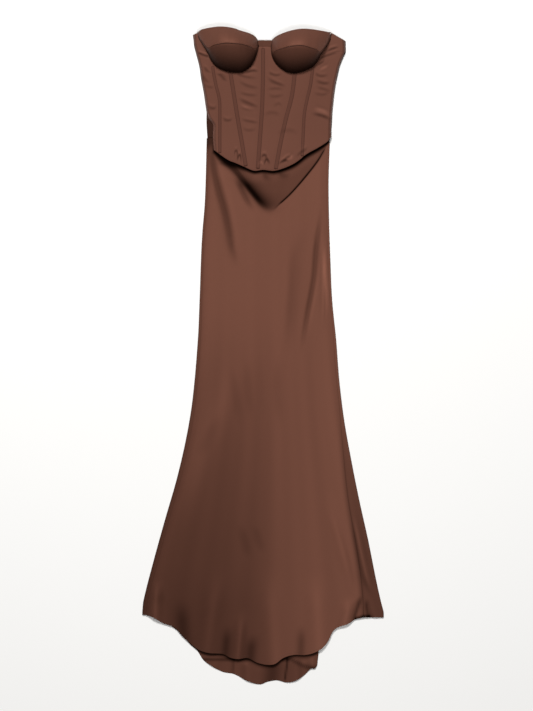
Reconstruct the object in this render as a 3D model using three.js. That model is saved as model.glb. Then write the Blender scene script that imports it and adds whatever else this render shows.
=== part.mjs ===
// A strapless corset dress with an underwired boned bodice and a long bias-cut skirt, laid flat on its
// back and seen from its front. Lengths are in millimetres: +X is the viewer's right, +Y runs from the
// hem to the neckline, and +Z rises from the surface under the dress. Left and right are the viewer's.

import * as THREE from 'three';

// Walls of cloth and the gaps between pieces
const SKIRT_WALL = 1.2;
const BODICE_WALL = 2;
const BACK_WALL = 1.4;
const CUP_WALL = 2.6;
const CHANNEL_WALL = 1.2;
const CHANNEL_WIDTH = 9;
const SIDE_CHANNEL_WIDTH = 7;
const SEAM_GAP = 0.3;
const CHANNEL_GAP = 0.4;

// Heights of the middle of a wall above the surface
const FLOOR_LAYER = SKIRT_WALL / 2;
const FOLD_LAYER = 3.2;
const UPPER_LAYER = 4.2;
const DEEPEST_TROUGH = -1.8;

// The draped fold: its rise, how wide its soft left slope and its crisp right edge are, and where it fades
const DRAPE_RISE = 9;
const DRAPE_SOFT_SLOPE = 45;
const DRAPE_CRISP_SLOPE = 4;
const DRAPE_TURN = 45;
const DRAPE_LEFT = { end: -112, fade: 60 };
const DRAPE_RIGHT = { end: 150, fade: 30 };
const DRAPE_HIDDEN = { from: 440, fade: 45, share: 0.6 };

// How far each curved form rises or rolls
const SIDE_ROLL = 16;
const SKIRT_ROLL = 22;
const CUP_DEPTH = 46;
const CUP_TOP_EDGE = 27;
const CUP_SEAM_ANGLE = 68 * Math.PI / 180;
const CUP_SEAT = 0.6;
const TRAIN_START = 4;
const TRAIN_RAMP = 14;

// Levels that several pieces share
const WAIST_SEAM = 489;
const STRAIGHT_ROWS_END = 250;
const BELOW_HEMS = -800;
const SKIRT_TOP_LEVEL = 300;
const HEM_CROWDING = 1.3;

const SATIN = { color: '#71483c', roughness: 0.45, metalness: 0 };
const SATIN_SHADE = { color: '#5e3a30', roughness: 0.5, metalness: 0 };

/** Rises smoothly from 0 to 1 as t goes from 0 to 1. */
function ease(t) {
  const inside = Math.min(Math.max(t, 0), 1);
  return inside * inside * (3 - 2 * inside);
}

/** A smooth function through rows of [position, value], level beyond its ends. */
function through(rows) {
  const slopes = rows.map((row, i) => {
    const before = rows[Math.max(i - 1, 0)];
    const after = rows[Math.min(i + 1, rows.length - 1)];
    return (after[1] - before[1]) / (after[0] - before[0]);
  });
  return (position) => {
    if (position <= rows[0][0]) return rows[0][1];
    if (position >= rows.at(-1)[0]) return rows.at(-1)[1];
    const i = rows.findIndex((row) => row[0] > position) - 1;
    const span = rows[i + 1][0] - rows[i][0];
    const t = (position - rows[i][0]) / span;
    const rise = rows[i + 1][1] - rows[i][1];
    const bend = t * (1 - t) * ((1 - t) * (slopes[i] * span - rise) - t * (slopes[i + 1] * span - rise));
    return rows[i][1] + t * rise + bend;
  };
}

/** A curve through points given as [across, up]; its argument runs from 0 to 1 along its length. */
function line(points) {
  const curve = new THREE.SplineCurve(points.map(([x, y]) => new THREE.Vector2(x, y)));
  return (t) => curve.getPointAt(Math.min(Math.max(t, 0), 1));
}

/** Height of a list of soft folds at a point. Each fold runs from (x1, y1) to (x2, y2), bows sideways,
 *  falls off over its width, and fades out at both ends, or only at the first where it is open. */
function foldHeight(folds, x, y) {
  let height = 0;
  for (const [x1, y1, x2, y2, bow, width, rise, open] of folds) {
    const length = Math.hypot(x2 - x1, y2 - y1);
    const alongX = (x2 - x1) / length;
    const alongY = (y2 - y1) / length;
    const t = ((x - x1) * alongX + (y - y1) * alongY) / length;
    const sideways = (x - x1) * alongY - (y - y1) * alongX - bow * 4 * t * (1 - t) * ease(4 * t * (1 - t));
    const ends = ease(t / 0.3) * (open ? 1 : ease((1 - t) / 0.3));
    height += rise * ends * Math.exp(-((sideways / width) ** 2));
  }
  return height;
}

// The skirt's outline. Each side is a row of [up, across] at a few heights, from hem to waist.
const foldLeft = through([
  [-577, -271], [-550, -268], [-460, -245], [-370, -220], [-280, -194], [-190, -173],
  [-100, -158], [35, -146], [125, -142], [260, -137], [350, -130], [489, -126],
]);
const foldRight = through([
  [-577, 271], [-550, 264], [-505, 254], [-415, 236], [-325, 216], [-235, 198], [-145, 182],
  [-55, 171], [35, 164], [125, 155], [215, 151], [305, 148], [395, 147], [489, 150],
]);
const seamLeft = through([
  [-582, -264], [-550, -260], [-460, -236], [-370, -212], [-280, -186], [-190, -166],
  [-100, -152], [35, -141], [125, -138], [260, -133], [350, -126.5], [489, -122.5],
]);
const seamRight = through([
  [-593, 227], [-528, 223], [-444, 212], [-318, 191], [-206, 180], [-123, 173], [-33, 164],
  [57, 158], [125, 151], [215, 147], [305, 144.5], [395, 143.5], [489, 146.5],
]);

// Hems as rows of [across, up]: the front's, and the back's longer train.
const frontHem = through([
  [-271, -582], [-250, -588], [-225, -602], [-198, -613], [-180, -633], [-148, -660], [-124, -669],
  [-90, -672], [-74, -680], [-56, -683], [-34, -681], [-14, -691], [9, -696], [27, -694], [45, -681],
  [68, -674], [94, -674], [115, -669], [135, -657], [148, -640], [155, -624], [166, -613],
  [191, -604], [205, -595], [218, -591], [241, -588], [271, -590],
]);
const trainHem = through([
  [-271, -579], [-225, -598], [-180, -630], [-165, -650], [-148, -665], [-135, -685], [-112, -701],
  [-90, -712], [-65, -717], [-36, -732], [-7, -740], [11, -734], [32, -731], [54, -736], [76, -731],
  [94, -719], [108, -705], [122, -699], [127, -660], [148, -636], [166, -609], [205, -591], [271, -587],
]);

// The draped fold under the bodice: its lower edge falls in a deep V, as rows of [across, up].
const drapeEdge = through([
  [-126, 446], [-72, 426], [-27, 371], [2, 330], [18, 316], [34, 331], [61, 363], [89, 395],
  [123, 438], [142, 470], [150, 476],
]);

// Folds: x1, y1, x2, y2, bow, width, rise, open at the second end.
const SKIRT_FOLDS = [
  [-118, 462, -56, 192, 4, 9, -1.8, 0],
  [-98, 430, -44, 180, 4, 16, 2.4, 0],
  [133, 345, 88, -30, 3, 7, -2.2, 0],
  [146, 300, 106, -60, 3, 12, 2.6, 0],
  [89, 300, 56, -30, 0, 16, -1.8, 0],
  [66, 270, 36, -60, 0, 16, 1.8, 0],
  [-61, 402, -20, 318, -3, 8, -1.8, 0],
  [-61, 20, -203, -470, 0, 34, 4.5, 0],
  [-20, 10, -110, -420, 0, 26, -1.6, 0],
  [151, -300, 208, -540, 0, 16, 3.5, 0],
  [-236, -470, -244, -600, 0, 15, 8, 1],
  [-70, -420, -128, -665, 6, 22, 7, 1],
  [-46, -560, -58, -690, 0, 12, 6, 1],
  [10, -400, 26, -700, 0, 24, 8, 1],
  [118, -430, 126, -660, 0, 22, 7, 1],
  [196, -520, 182, -610, 0, 13, 4, 1],
];
const TRAIN_FOLDS = [
  [-84, -630, -116, -705, 0, 16, 5, 1],
  [-36, -640, -36, -735, 0, 13, 6, 1],
  [66, -640, 76, -735, 0, 14, 6, 1],
  [104, -640, 112, -705, 0, 10, 5, 1],
];
const BODICE_CREASES = [
  [116, 619, 154, 612, 0, 8, -2, 0],
  [108, 545, 158, 528, 3, 8, -2.4, 0],
  [6, 618, 54, 604, 2, 8, -1.8, 0],
  [-58, 576, -6, 556, -2, 8, -1.8, 0],
  [-52, 531, -6, 522, 0, 7, -1.5, 0],
  [46, 438, 72, 446, 4, 8, 2, 0],
];

/** Middle of the skirt's upper layer above the surface: level in the open, lower where it folds under. */
function upperLayer(x, y) {
  const inFromFold = Math.min(x - foldLeft(y), foldRight(y) - x);
  const slope = DRAPE_SOFT_SLOPE + (DRAPE_CRISP_SLOPE - DRAPE_SOFT_SLOPE) * ease(x / DRAPE_TURN);
  const beside = ease((x - DRAPE_LEFT.end) / DRAPE_LEFT.fade) * ease((DRAPE_RIGHT.end - x) / DRAPE_RIGHT.fade);
  const underBodice = 1 - DRAPE_HIDDEN.share * ease((y - DRAPE_HIDDEN.from) / DRAPE_HIDDEN.fade);
  const drape = DRAPE_RISE * beside * underBodice * ease((y - drapeEdge(x)) / slope);
  const relief = Math.max(foldHeight(SKIRT_FOLDS, x, y) + drape, DEEPEST_TROUGH);
  return FOLD_LAYER + ease(inFromFold / SKIRT_ROLL) * (UPPER_LAYER - FOLD_LAYER + relief);
}

/** Middle of the skirt's lower layer: on the surface, with the train's waves past the front hem. */
function lowerLayer(x, y) {
  const pastFront = ease((frontHem(x) - TRAIN_START - y) / TRAIN_RAMP);
  return FLOOR_LAYER + pastFront * Math.max(foldHeight(TRAIN_FOLDS, x, y), 0);
}

// The bodice's outline, from its hem up to the wings, and its curved hem.
const bodiceLeft = through([
  [462, -110], [494, -112], [519, -112], [534, -122], [548, -127], [570, -130], [597, -134.5],
  [624, -139.5], [651, -143.5], [680, -151], [696, -155], [720, -157],
]);
const bodiceRight = through([
  [492, 153], [512, 153], [530, 154.5], [557, 157], [584, 160], [611, 164], [638, 170], [651, 173],
  [669, 180], [683, 186], [703, 185.5],
]);
const bodiceHem = through([
  [-110, 462], [-97, 452], [-76, 438], [-63, 433], [-40, 423], [-20, 415], [0, 417], [25, 415],
  [50, 422], [74, 434], [99, 453], [124, 467], [146, 482], [153, 492],
]);
const bodiceStand = through([[414, 17.5], [450, 16.5], [500, 14.5], [560, 14], [640, 14], [720, 13]]);
const bodiceEdgeHeight = through([[462, 9.5], [505, 8], [548, 2.45], [720, 2.45]]);

/** Middle of the bodice's front wall: it stands over the back and rolls down to it at both sides. */
function bodiceFront(x, y) {
  const inFromEdge = Math.max(Math.min(x - bodiceLeft(y), bodiceRight(y) - x), 0);
  const roll = Math.sin(Math.PI / 2 * Math.min(inFromEdge / SIDE_ROLL, 1));
  const edge = bodiceEdgeHeight(y);
  return edge + roll * (bodiceStand(y) - edge + foldHeight(BODICE_CREASES, x, y));
}

/** A point on a height surface, with the surface's normal there. */
function onSurface(height, x, y) {
  const step = 0.4;
  const slopeX = (height(x + step, y) - height(x - step, y)) / (2 * step);
  const slopeY = (height(x, y + step) - height(x, y - step)) / (2 * step);
  return {
    point: new THREE.Vector3(x, y, height(x, y)),
    normal: new THREE.Vector3(-slopeX, -slopeY, 1).normalize(),
  };
}

/** Rows and columns of surface points; place(u, v) gives each one's [across, up] on the height surface. */
function heightGrid(height, columns, rows, place) {
  return rows.map((v) => columns.map((u) => onSurface(height, ...place(u, v))));
}

/** Gives a grid of bare points their normals, from each point's neighbours. */
function withNormals(points) {
  return points.map((row, r) => row.map((point, c) => {
    const across = new THREE.Vector3().subVectors(
      row[Math.min(c + 1, row.length - 1)], row[Math.max(c - 1, 0)]);
    const along = new THREE.Vector3().subVectors(
      points[Math.min(r + 1, points.length - 1)][c], points[Math.max(r - 1, 0)][c]);
    return { point, normal: new THREE.Vector3().crossVectors(across, along).normalize() };
  }));
}

/** A closed wall of cloth: the grid moved half the wall each way, with its four edges closed. */
function clothWall(grid, wall) {
  const rows = grid.length;
  const columns = grid[0].length;
  const positions = [];
  for (const side of [wall / 2, -wall / 2]) {
    for (const { point, normal } of grid.flat()) {
      positions.push(...point.clone().addScaledVector(normal, side).toArray());
    }
  }
  const inner = rows * columns;
  const faces = [];
  const addQuad = (a, b, c, d) => faces.push(a, b, c, a, c, d);
  for (let r = 0; r < rows - 1; r += 1) {
    for (let c = 0; c < columns - 1; c += 1) {
      const corner = r * columns + c;
      addQuad(corner, corner + 1, corner + columns + 1, corner + columns);
      addQuad(inner + corner, inner + corner + columns, inner + corner + columns + 1, inner + corner + 1);
    }
  }
  const rim = [];
  for (let c = 0; c < columns - 1; c += 1) rim.push(c);
  for (let r = 0; r < rows - 1; r += 1) rim.push(r * columns + columns - 1);
  for (let c = columns - 1; c > 0; c -= 1) rim.push((rows - 1) * columns + c);
  for (let r = rows - 1; r > 0; r -= 1) rim.push(r * columns);
  rim.forEach((from, i) => {
    const to = rim[(i + 1) % rim.length];
    addQuad(from, inner + from, inner + to, to);
  });
  const geometry = new THREE.BufferGeometry();
  geometry.setAttribute('position', new THREE.Float32BufferAttribute(positions, 3));
  geometry.setIndex(faces);
  geometry.computeVertexNormals();
  return geometry;
}

/** Evenly spaced values from 0 to 1. */
function steps(count) {
  return Array.from({ length: count + 1 }, (_, i) => i / count);
}

const dress = new THREE.Group();

/** Adds one named piece of the dress. */
function addPiece(name, grid, wall, finish = SATIN) {
  const mesh = new THREE.Mesh(clothWall(grid, wall), new THREE.MeshStandardMaterial(finish));
  mesh.name = name;
  dress.add(mesh);
}

/** A place across the top of the skirt, from its left seam at 0 to its right seam at 1. */
function acrossTop(u) {
  return seamLeft(SKIRT_TOP_LEVEL) + (seamRight(SKIRT_TOP_LEVEL) - seamLeft(SKIRT_TOP_LEVEL)) * u;
}

/** Heights of the skirt's rows above one place across: close together at the hem and at the drape. */
function skirtRow(v, x, hem) {
  const edge = drapeEdge(x);
  if (v <= 1) return hem + (STRAIGHT_ROWS_END - hem) * v ** HEM_CROWDING;
  if (v <= 2) return STRAIGHT_ROWS_END + (edge - STRAIGHT_ROWS_END) * (v - 1);
  return edge + (WAIST_SEAM - edge) * (v - 2);
}
const SKIRT_ROWS = [
  ...steps(22), 1.5, 1.8, 1.94, 1.985, 2.02, 2.08, 2.2, 2.45, 2.7, 3,
];

/** The front: one bias-cut panel from seam to seam, over the back. */
function addSkirtFront() {
  const hemLeft = seamLeft(BELOW_HEMS);
  const hemRight = seamRight(BELOW_HEMS);
  const place = (u, v) => {
    const hemAcross = hemLeft + (hemRight - hemLeft) * u;
    const nearX = acrossTop(u);
    const y = skirtRow(v, nearX, frontHem(hemAcross));
    const left = seamLeft(y) + SEAM_GAP / 2;
    const right = seamRight(y) - SEAM_GAP / 2;
    return [left + (right - left) * u, y];
  };
  addPiece('skirt_front', heightGrid(upperLayer, steps(22), SKIRT_ROWS, place), SKIRT_WALL);
}

/** The back: it lies on the surface, turns up at both sides and meets the front at the two seams. */
function addSkirtBack() {
  const turn = (FOLD_LAYER - FLOOR_LAYER) / 2;
  const turnSteps = [0.25, 0.5, 0.75];
  const floorAcross = [
    0, 0.1, 0.19, 0.23, 0.28, 0.335, 0.39, 0.44, 0.485, 0.53, 0.57, 0.61, 0.65, 0.685, 0.71,
    0.728, 0.742, 0.8, 0.9, 1,
  ];
  const hemFold = [foldLeft(BELOW_HEMS), foldRight(BELOW_HEMS)];
  const rowAt = (v) => {
    const leftY = skirtRow(v, acrossTop(0), frontHem(seamLeft(BELOW_HEMS)));
    const rightY = skirtRow(v, acrossTop(1), frontHem(seamRight(BELOW_HEMS)));
    const left = foldLeft(leftY) + turn;
    const right = foldRight(rightY) - turn;
    const row = [];
    const addTop = (x, y) => row.push(new THREE.Vector3(x, y, upperLayer(x, y)));
    addTop(seamLeft(leftY) - SEAM_GAP / 2, leftY);
    addTop(left, leftY);
    for (const t of turnSteps) {
      const angle = Math.PI * t;
      row.push(new THREE.Vector3(
        left - turn * Math.sin(angle), leftY, FLOOR_LAYER + turn * (1 + Math.cos(angle))));
    }
    for (const u of floorAcross) {
      const hemAcross = hemFold[0] + (hemFold[1] - hemFold[0]) * u;
      const nearX = acrossTop(u);
      const y = skirtRow(v, nearX, trainHem(hemAcross));
      const x = foldLeft(y) + turn + (foldRight(y) - foldLeft(y) - 2 * turn) * u;
      row.push(new THREE.Vector3(x, y, lowerLayer(x, y)));
    }
    for (const t of turnSteps) {
      const angle = Math.PI * t;
      row.push(new THREE.Vector3(
        right + turn * Math.sin(angle), rightY, FLOOR_LAYER + turn * (1 - Math.cos(angle))));
    }
    const seam = seamRight(rightY) + SEAM_GAP / 2;
    for (const t of [0, 0.5, 1]) addTop(right + (seam - right) * t, rightY);
    return row;
  };
  addPiece('skirt_back', withNormals(SKIRT_ROWS.map(rowAt)), SKIRT_WALL);
}

// The bodice's long seams from the cups down to the hem, as [across, up] points; each carries a boning
// channel. The top edges run 2 mm inside the cups' wires, so that the cups sit on the panels.
const hemEnd = (x) => [x, bodiceHem(x)];
const SEAM = {
  outerLeft: [[-114, 652], [-106, 609], [-98, 575], [-97, 534], [-97, 496], hemEnd(-97)],
  diagonalLeft: [[-74, 641], [-65, 584], [-56, 528], [-47, 476], hemEnd(-38)],
  centre: [[0, 695], [0, 633], [-2, 559], [-7, 485], hemEnd(-12)],
  diagonalRight: [[72, 639], [65, 584], [52, 534], [40, 480], hemEnd(28)],
  outerRight: [[113, 655], [107, 609], [99, 575], [93, 543], [91, 510], hemEnd(88)],
};
const TOP_EDGE = {
  sideLeft: [[-149, 680], [-122, 674], [-119, 664], [-114, 652]],
  sideFrontLeft: [[-114, 652], [-104, 652], [-90, 645], [-74, 641]],
  centreFrontLeft: [[-74, 641], [-60, 640], [-47, 640], [-35, 648], [-23, 663], [-16, 681], [-13, 694], [0, 695]],
  centreFrontRight: [[0, 695], [22, 694], [23, 678], [29, 662], [41, 650], [57, 640], [72, 639]],
  sideFrontRight: [[72, 639], [85, 640], [101, 645], [113, 655]],
  sideRight: [[113, 655], [120, 663], [127, 677], [184, 684]],
};

/** A panel between a left and a right seam: its points blend from its four edges. */
function addPanel(name, columns, top, leftSeam, rightSeam, hemLeft, hemRight) {
  const topLine = line(top);
  const leftLine = line([...leftSeam].reverse());
  const rightLine = line([...rightSeam].reverse());
  const corners = [leftLine(0), rightLine(0), leftLine(1), rightLine(1)];
  const blend = (u, v, axis) => {
    const hemX = hemLeft + (hemRight - hemLeft) * u;
    const hem = axis === 'x' ? hemX : bodiceHem(hemX);
    const fromRows = (1 - v) * hem + v * topLine(u)[axis];
    const fromColumns = (1 - u) * leftLine(v)[axis] + u * rightLine(v)[axis];
    const low = (1 - u) * corners[0][axis] + u * corners[1][axis];
    const high = (1 - u) * corners[2][axis] + u * corners[3][axis];
    return fromRows + fromColumns - ((1 - v) * low + v * high);
  };
  const place = (u, v) => [blend(u, v, 'x') + SEAM_GAP * (0.5 - u), blend(u, v, 'y')];
  addPiece(name, heightGrid(bodiceFront, columns, steps(22), place), BODICE_WALL);
}

/** The wing at the outer end of a cup: the side panel's upper part, above its short seam. */
function addWing(name, low, high) {
  const place = (u, v) => {
    const from = [low[0][0] + (low[1][0] - low[0][0]) * u, low[0][1] + (low[1][1] - low[0][1]) * u];
    const to = [high[0][0] + (high[1][0] - high[0][0]) * u, high[0][1] + (high[1][1] - high[0][1]) * u];
    return [from[0] + (to[0] - from[0]) * v, from[1] + (to[1] - from[1]) * v];
  };
  addPiece(name, heightGrid(bodiceFront, steps(5), steps(4), place), BODICE_WALL);
}

/** A boning channel: a narrow strip on a seam, made from the bodice's points moved out. */
function addChannel(name, seam, start, width) {
  const route = line(seam);
  const lift = BODICE_WALL / 2 + CHANNEL_GAP + CHANNEL_WALL / 2;
  const end = 0.985;
  const grid = steps(18).map((v) => {
    const t = start + (end - start) * v;
    const ahead = route(t + 0.01).sub(route(t - 0.01)).normalize();
    return [-0.5, 0, 0.5].map((side) => {
      const spot = route(t);
      const x = spot.x + ahead.y * side * width;
      const y = spot.y - ahead.x * side * width;
      const place = onSurface(bodiceFront, x, y);
      place.point.addScaledVector(place.normal, lift);
      return place;
    });
  });
  addPiece(name, grid, CHANNEL_WALL, SATIN_SHADE);
}

// Cups: each row is one line up the cup, with its [across, up] on the wire, the seam and the top edge.
const CUP_LEFT = [
  [-146, 719, -146, 721, -148, 727], [-136, 701, -135, 705, -137, 733], [-125, 684, -123, 691, -124, 736],
  [-116, 664, -111, 696, -110, 738], [-103, 649, -98, 699, -97, 739], [-84, 640, -82, 701, -81, 738],
  [-66, 637, -66, 700, -65, 735], [-48, 637, -51, 699, -51, 730], [-33, 646, -37, 696, -37, 726],
  [-21, 662, -26, 692, -26, 722], [-14, 682, -17, 688, -18, 717], [-10, 699, -12, 701, -12, 709],
];
const CUP_RIGHT = [
  [19, 699, 20, 701, 21, 710], [20, 678, 22, 682, 28, 716], [26, 662, 30, 685, 37, 721],
  [38, 648, 43, 689, 50, 726], [56, 637, 58, 693, 63, 730], [75, 636, 74, 695, 78, 733],
  [93, 640, 91, 695, 93, 734], [110, 649, 106, 691, 109, 733], [122, 662, 119, 687, 124, 731],
  [130, 678, 128, 682, 137, 729], [142, 695, 140, 697, 147, 727], [152, 713, 151, 715, 153, 726],
];
const LOWER_CUP_STEPS = 6;
const UPPER_CUP_STEPS = 5;

/** A hollow cup in two pieces: the lower one rises steeply from the wire, the upper one closes over. */
function addCup(side, table) {
  const count = table.length - 1;
  const column = (index) => through(table.map((row, i) => [i / count, row[index]]));
  const [wireX, wireY, seamX, seamY, topX, topY] = [0, 1, 2, 3, 4, 5].map(column);
  const lineUp = (s) => {
    const fullness = Math.sin(Math.PI * s);
    const seat = bodiceFront(wireX(s), wireY(s)) + BODICE_WALL / 2 + CUP_SEAT + CUP_WALL / 2 * (1 - fullness);
    const seamZ = seat + CUP_DEPTH * fullness ** 0.8;
    const topZ = seat + CUP_TOP_EDGE * fullness ** 0.7;
    const points = steps(LOWER_CUP_STEPS).map((t) => {
      const angle = t * CUP_SEAM_ANGLE;
      const run = (1 - Math.cos(angle)) / (1 - Math.cos(CUP_SEAM_ANGLE));
      const climb = Math.sin(angle) / Math.sin(CUP_SEAM_ANGLE);
      return new THREE.Vector3(
        wireX(s) + (seamX(s) - wireX(s)) * run, wireY(s) + (seamY(s) - wireY(s)) * run,
        seat + (seamZ - seat) * climb);
    });
    for (const t of steps(UPPER_CUP_STEPS).slice(1)) {
      points.push(new THREE.Vector3(
        seamX(s) + (topX(s) - seamX(s)) * t, seamY(s) + (topY(s) - seamY(s)) * t,
        seamZ + (topZ - seamZ) * t ** 1.6));
    }
    return points;
  };
  const columns = steps(18).map(lineUp);
  const whole = withNormals(columns[0].map((_, r) => columns.map((points) => points[r])));
  const seamRow = LOWER_CUP_STEPS;
  const partAtSeam = (grid, row, towards) => grid[row].forEach((place, c) => {
    const away = new THREE.Vector3().subVectors(grid[towards][c].point, place.point);
    const shift = away.setLength(SEAM_GAP / 2);
    grid[row][c] = { point: place.point.clone().add(shift), normal: place.normal };
  });
  const lower = whole.slice(0, seamRow + 1).map((row) => [...row]);
  const upper = whole.slice(seamRow).map((row) => [...row]);
  partAtSeam(lower, seamRow, seamRow - 1);
  partAtSeam(upper, 0, 1);
  addPiece(`cup_lower_${side}`, lower, CUP_WALL);
  addPiece(`cup_upper_${side}`, upper, CUP_WALL);
}

/** The bridge between the cups, at the top of the centre front. */
function addBridge() {
  const place = (u, v) => [-13 + 36 * u, 696 + 13 * v];
  addPiece('bridge', heightGrid(bodiceFront, steps(3), steps(2), place), BODICE_WALL);
}

/** Half of the back bodice: plain, flat on the surface, from the centre back seam to the side fold. */
function addBack(name, side) {
  const outline = side < 0 ? bodiceLeft : bodiceRight;
  const backTop = through([[-157, 716], [-80, 690], [0, 676], [80, 680], [186, 697]]);
  const lowEdge = through([[489, side < 0 ? -125 : 152], [520, side < 0 ? -127 : 155], [548, outline(548)]]);
  const floor = WAIST_SEAM + SEAM_GAP;
  const grid = steps(16).map((v) => steps(4).map((u) => {
    const far = side < 0 ? -157 : 186;
    const y = floor + (backTop(far * u) - floor) * v;
    const edge = y < 548 ? lowEdge(y) : outline(y);
    const seam = side * SEAM_GAP / 2;
    return {
      point: new THREE.Vector3(seam + (edge - seam) * u, y, BACK_WALL / 2),
      normal: new THREE.Vector3(0, 0, side),
    };
  }));
  addPiece(name, grid, BACK_WALL);
}

addSkirtBack();
addSkirtFront();
addBack('back_left', -1);
addBack('back_right', 1);

const sideLeftEdge = [680, 640, 597, 560, 534, 519, 494, 462].map((y) => [bodiceLeft(y), y]);
const sideRightEdge = [684, 651, 611, 570, 530, 512, 492].map((y) => [bodiceRight(y), y]);
const rolled = [0, 0.08, 0.17, 0.28, 0.45, 0.7, 0.86, 1];
const rolledRight = [...rolled].reverse().map((u) => 1 - u);
addPanel('side_left', rolled, TOP_EDGE.sideLeft, sideLeftEdge, SEAM.outerLeft, -110, -97);
addPanel('side_front_left', steps(3), TOP_EDGE.sideFrontLeft, SEAM.outerLeft, SEAM.diagonalLeft, -97, -38);
addPanel('centre_front_left', steps(6), TOP_EDGE.centreFrontLeft, SEAM.diagonalLeft, SEAM.centre, -38, -12);
addPanel('centre_front_right', steps(6), TOP_EDGE.centreFrontRight, SEAM.centre, SEAM.diagonalRight, -12, 28);
addPanel('side_front_right', steps(3), TOP_EDGE.sideFrontRight, SEAM.diagonalRight, SEAM.outerRight, 28, 88);
addPanel('side_right', rolledRight, TOP_EDGE.sideRight, SEAM.outerRight, sideRightEdge, 88, 153);

addWing('wing_left', [[-150, 681], [-122, 675]], [[-158, 721], [-144, 727]]);
addWing('wing_right', [[132, 679], [186, 685]], [[150, 728], [186, 707]]);
addCup('left', CUP_LEFT);
addCup('right', CUP_RIGHT);
addBridge();

addChannel('channel_outer_left', SEAM.outerLeft, 0.05, SIDE_CHANNEL_WIDTH);
addChannel('channel_diagonal_left', SEAM.diagonalLeft, 0.05, CHANNEL_WIDTH);
addChannel('channel_centre', SEAM.centre, 0.015, CHANNEL_WIDTH);
addChannel('channel_diagonal_right', SEAM.diagonalRight, 0.05, CHANNEL_WIDTH);
addChannel('channel_outer_right', SEAM.outerRight, 0.05, SIDE_CHANNEL_WIDTH);

export default dress;
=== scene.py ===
import logging
from collections.abc import Callable, Sequence
from dataclasses import dataclass, field
from enum import Enum

import bpy
import numpy as np
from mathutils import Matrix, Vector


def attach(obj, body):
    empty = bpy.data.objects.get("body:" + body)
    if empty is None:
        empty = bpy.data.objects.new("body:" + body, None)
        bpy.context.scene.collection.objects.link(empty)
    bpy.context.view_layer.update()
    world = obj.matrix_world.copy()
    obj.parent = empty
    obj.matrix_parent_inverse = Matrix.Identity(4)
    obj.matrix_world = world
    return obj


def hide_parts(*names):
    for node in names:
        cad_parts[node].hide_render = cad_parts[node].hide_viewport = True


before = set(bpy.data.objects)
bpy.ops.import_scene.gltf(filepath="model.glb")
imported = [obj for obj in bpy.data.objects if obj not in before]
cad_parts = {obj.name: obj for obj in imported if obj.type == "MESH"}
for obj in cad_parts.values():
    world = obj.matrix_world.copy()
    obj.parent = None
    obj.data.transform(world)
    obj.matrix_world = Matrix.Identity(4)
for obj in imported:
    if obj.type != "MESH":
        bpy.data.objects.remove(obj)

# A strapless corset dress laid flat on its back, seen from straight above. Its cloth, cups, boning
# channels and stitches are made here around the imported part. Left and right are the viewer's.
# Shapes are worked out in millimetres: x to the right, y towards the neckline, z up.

Array = np.ndarray
Curve = Callable[[Array], Array]
Point = tuple[float, float]

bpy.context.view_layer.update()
LOG = logging.getLogger("dress")
MM = 0.001
BODY = "root"
UPRIGHT = (0.0, 0.0, 1.0)


# Curves and surfaces


def ease(t: Array | float) -> Array:
    """A smooth step: 3t² - 2t³, with t held between 0 and 1.

    Args:
        t: how far along the step, from 0 to 1.

    Returns:
        The height of the step, from 0 to 1.
    """
    held = np.clip(t, 0.0, 1.0)
    return held * held * (3.0 - 2.0 * held)


def between(value: Array | float, start: float, end: float) -> Array:
    """A smooth step from 0 where the value is the start to 1 where it is the end, whichever is larger."""
    return ease((value - start) / (end - start))


def through(rows: Sequence[Point]) -> Curve:
    """A smooth function through rows of (position, value), level beyond its ends.

    Between two rows it is the cubic whose slope at each row is that of the chord between the row's
    neighbours.

    Args:
        rows: positions in rising order, each with its value.

    Returns:
        The function, which takes and gives whole arrays.
    """
    at, value = np.array(rows, float).T
    last = len(at) - 1
    before = np.maximum(np.arange(len(at)) - 1, 0)
    after = np.minimum(np.arange(len(at)) + 1, last)
    slope = (value[after] - value[before]) / (at[after] - at[before])

    def curve(position: Array) -> Array:
        held = np.clip(position, at[0], at[-1])
        i = np.clip(np.searchsorted(at, held, side="right") - 1, 0, last - 1)
        span = at[i + 1] - at[i]
        rise = value[i + 1] - value[i]
        t = (held - at[i]) / span
        bend = t * (1 - t) * ((1 - t) * (slope[i] * span - rise) - t * (slope[i + 1] * span - rise))
        return value[i] + t * rise + bend

    return curve


def line(points: Sequence[Point]) -> Curve:
    """A smooth line through points, read by the share of its length.

    It is the Catmull-Rom curve: each stretch is a cubic whose end slopes are half the chord between
    the neighbouring points.

    Args:
        points: at least two (x, y) points.

    Returns:
        A function from shares of the length, 0 to 1, to (x, y) points.
    """
    p = np.array(points, float)
    last = len(p) - 1
    t = np.linspace(0, last, 300 * last + 1)
    i = np.minimum(t.astype(int), last - 1)
    f = (t - i)[:, None]
    start, end = p[i], p[i + 1]
    leave = (end - p[np.maximum(i - 1, 0)]) / 2
    arrive = (p[np.minimum(i + 2, last)] - start) / 2
    curve = (2 * start - 2 * end + leave + arrive) * f**3
    curve += (-3 * start + 3 * end - 2 * leave - arrive) * f**2 + leave * f + start
    run = np.concatenate([[0.0], np.cumsum(np.linalg.norm(np.diff(curve, axis=0), axis=1))])
    run /= run[-1]
    return lambda s: np.stack([np.interp(s, run, curve[:, k]) for k in range(2)], axis=-1)


def edged(count: int, inset: float) -> Array:
    """Places from 0 to 1: even inside, and closer together near both ends, where an edge rolls over.

    Args:
        count: how many even steps there are between the two insets.
        inset: the share at each end that the roll takes.

    Returns:
        The places; those of each roll stand at 1 - cos of even angles.
    """
    roll = inset * (1 - np.cos(np.linspace(0, np.pi / 2, 4)[:-1]))
    return np.concatenate([roll, np.linspace(inset, 1 - inset, count + 1), 1 - roll[::-1]])


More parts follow.
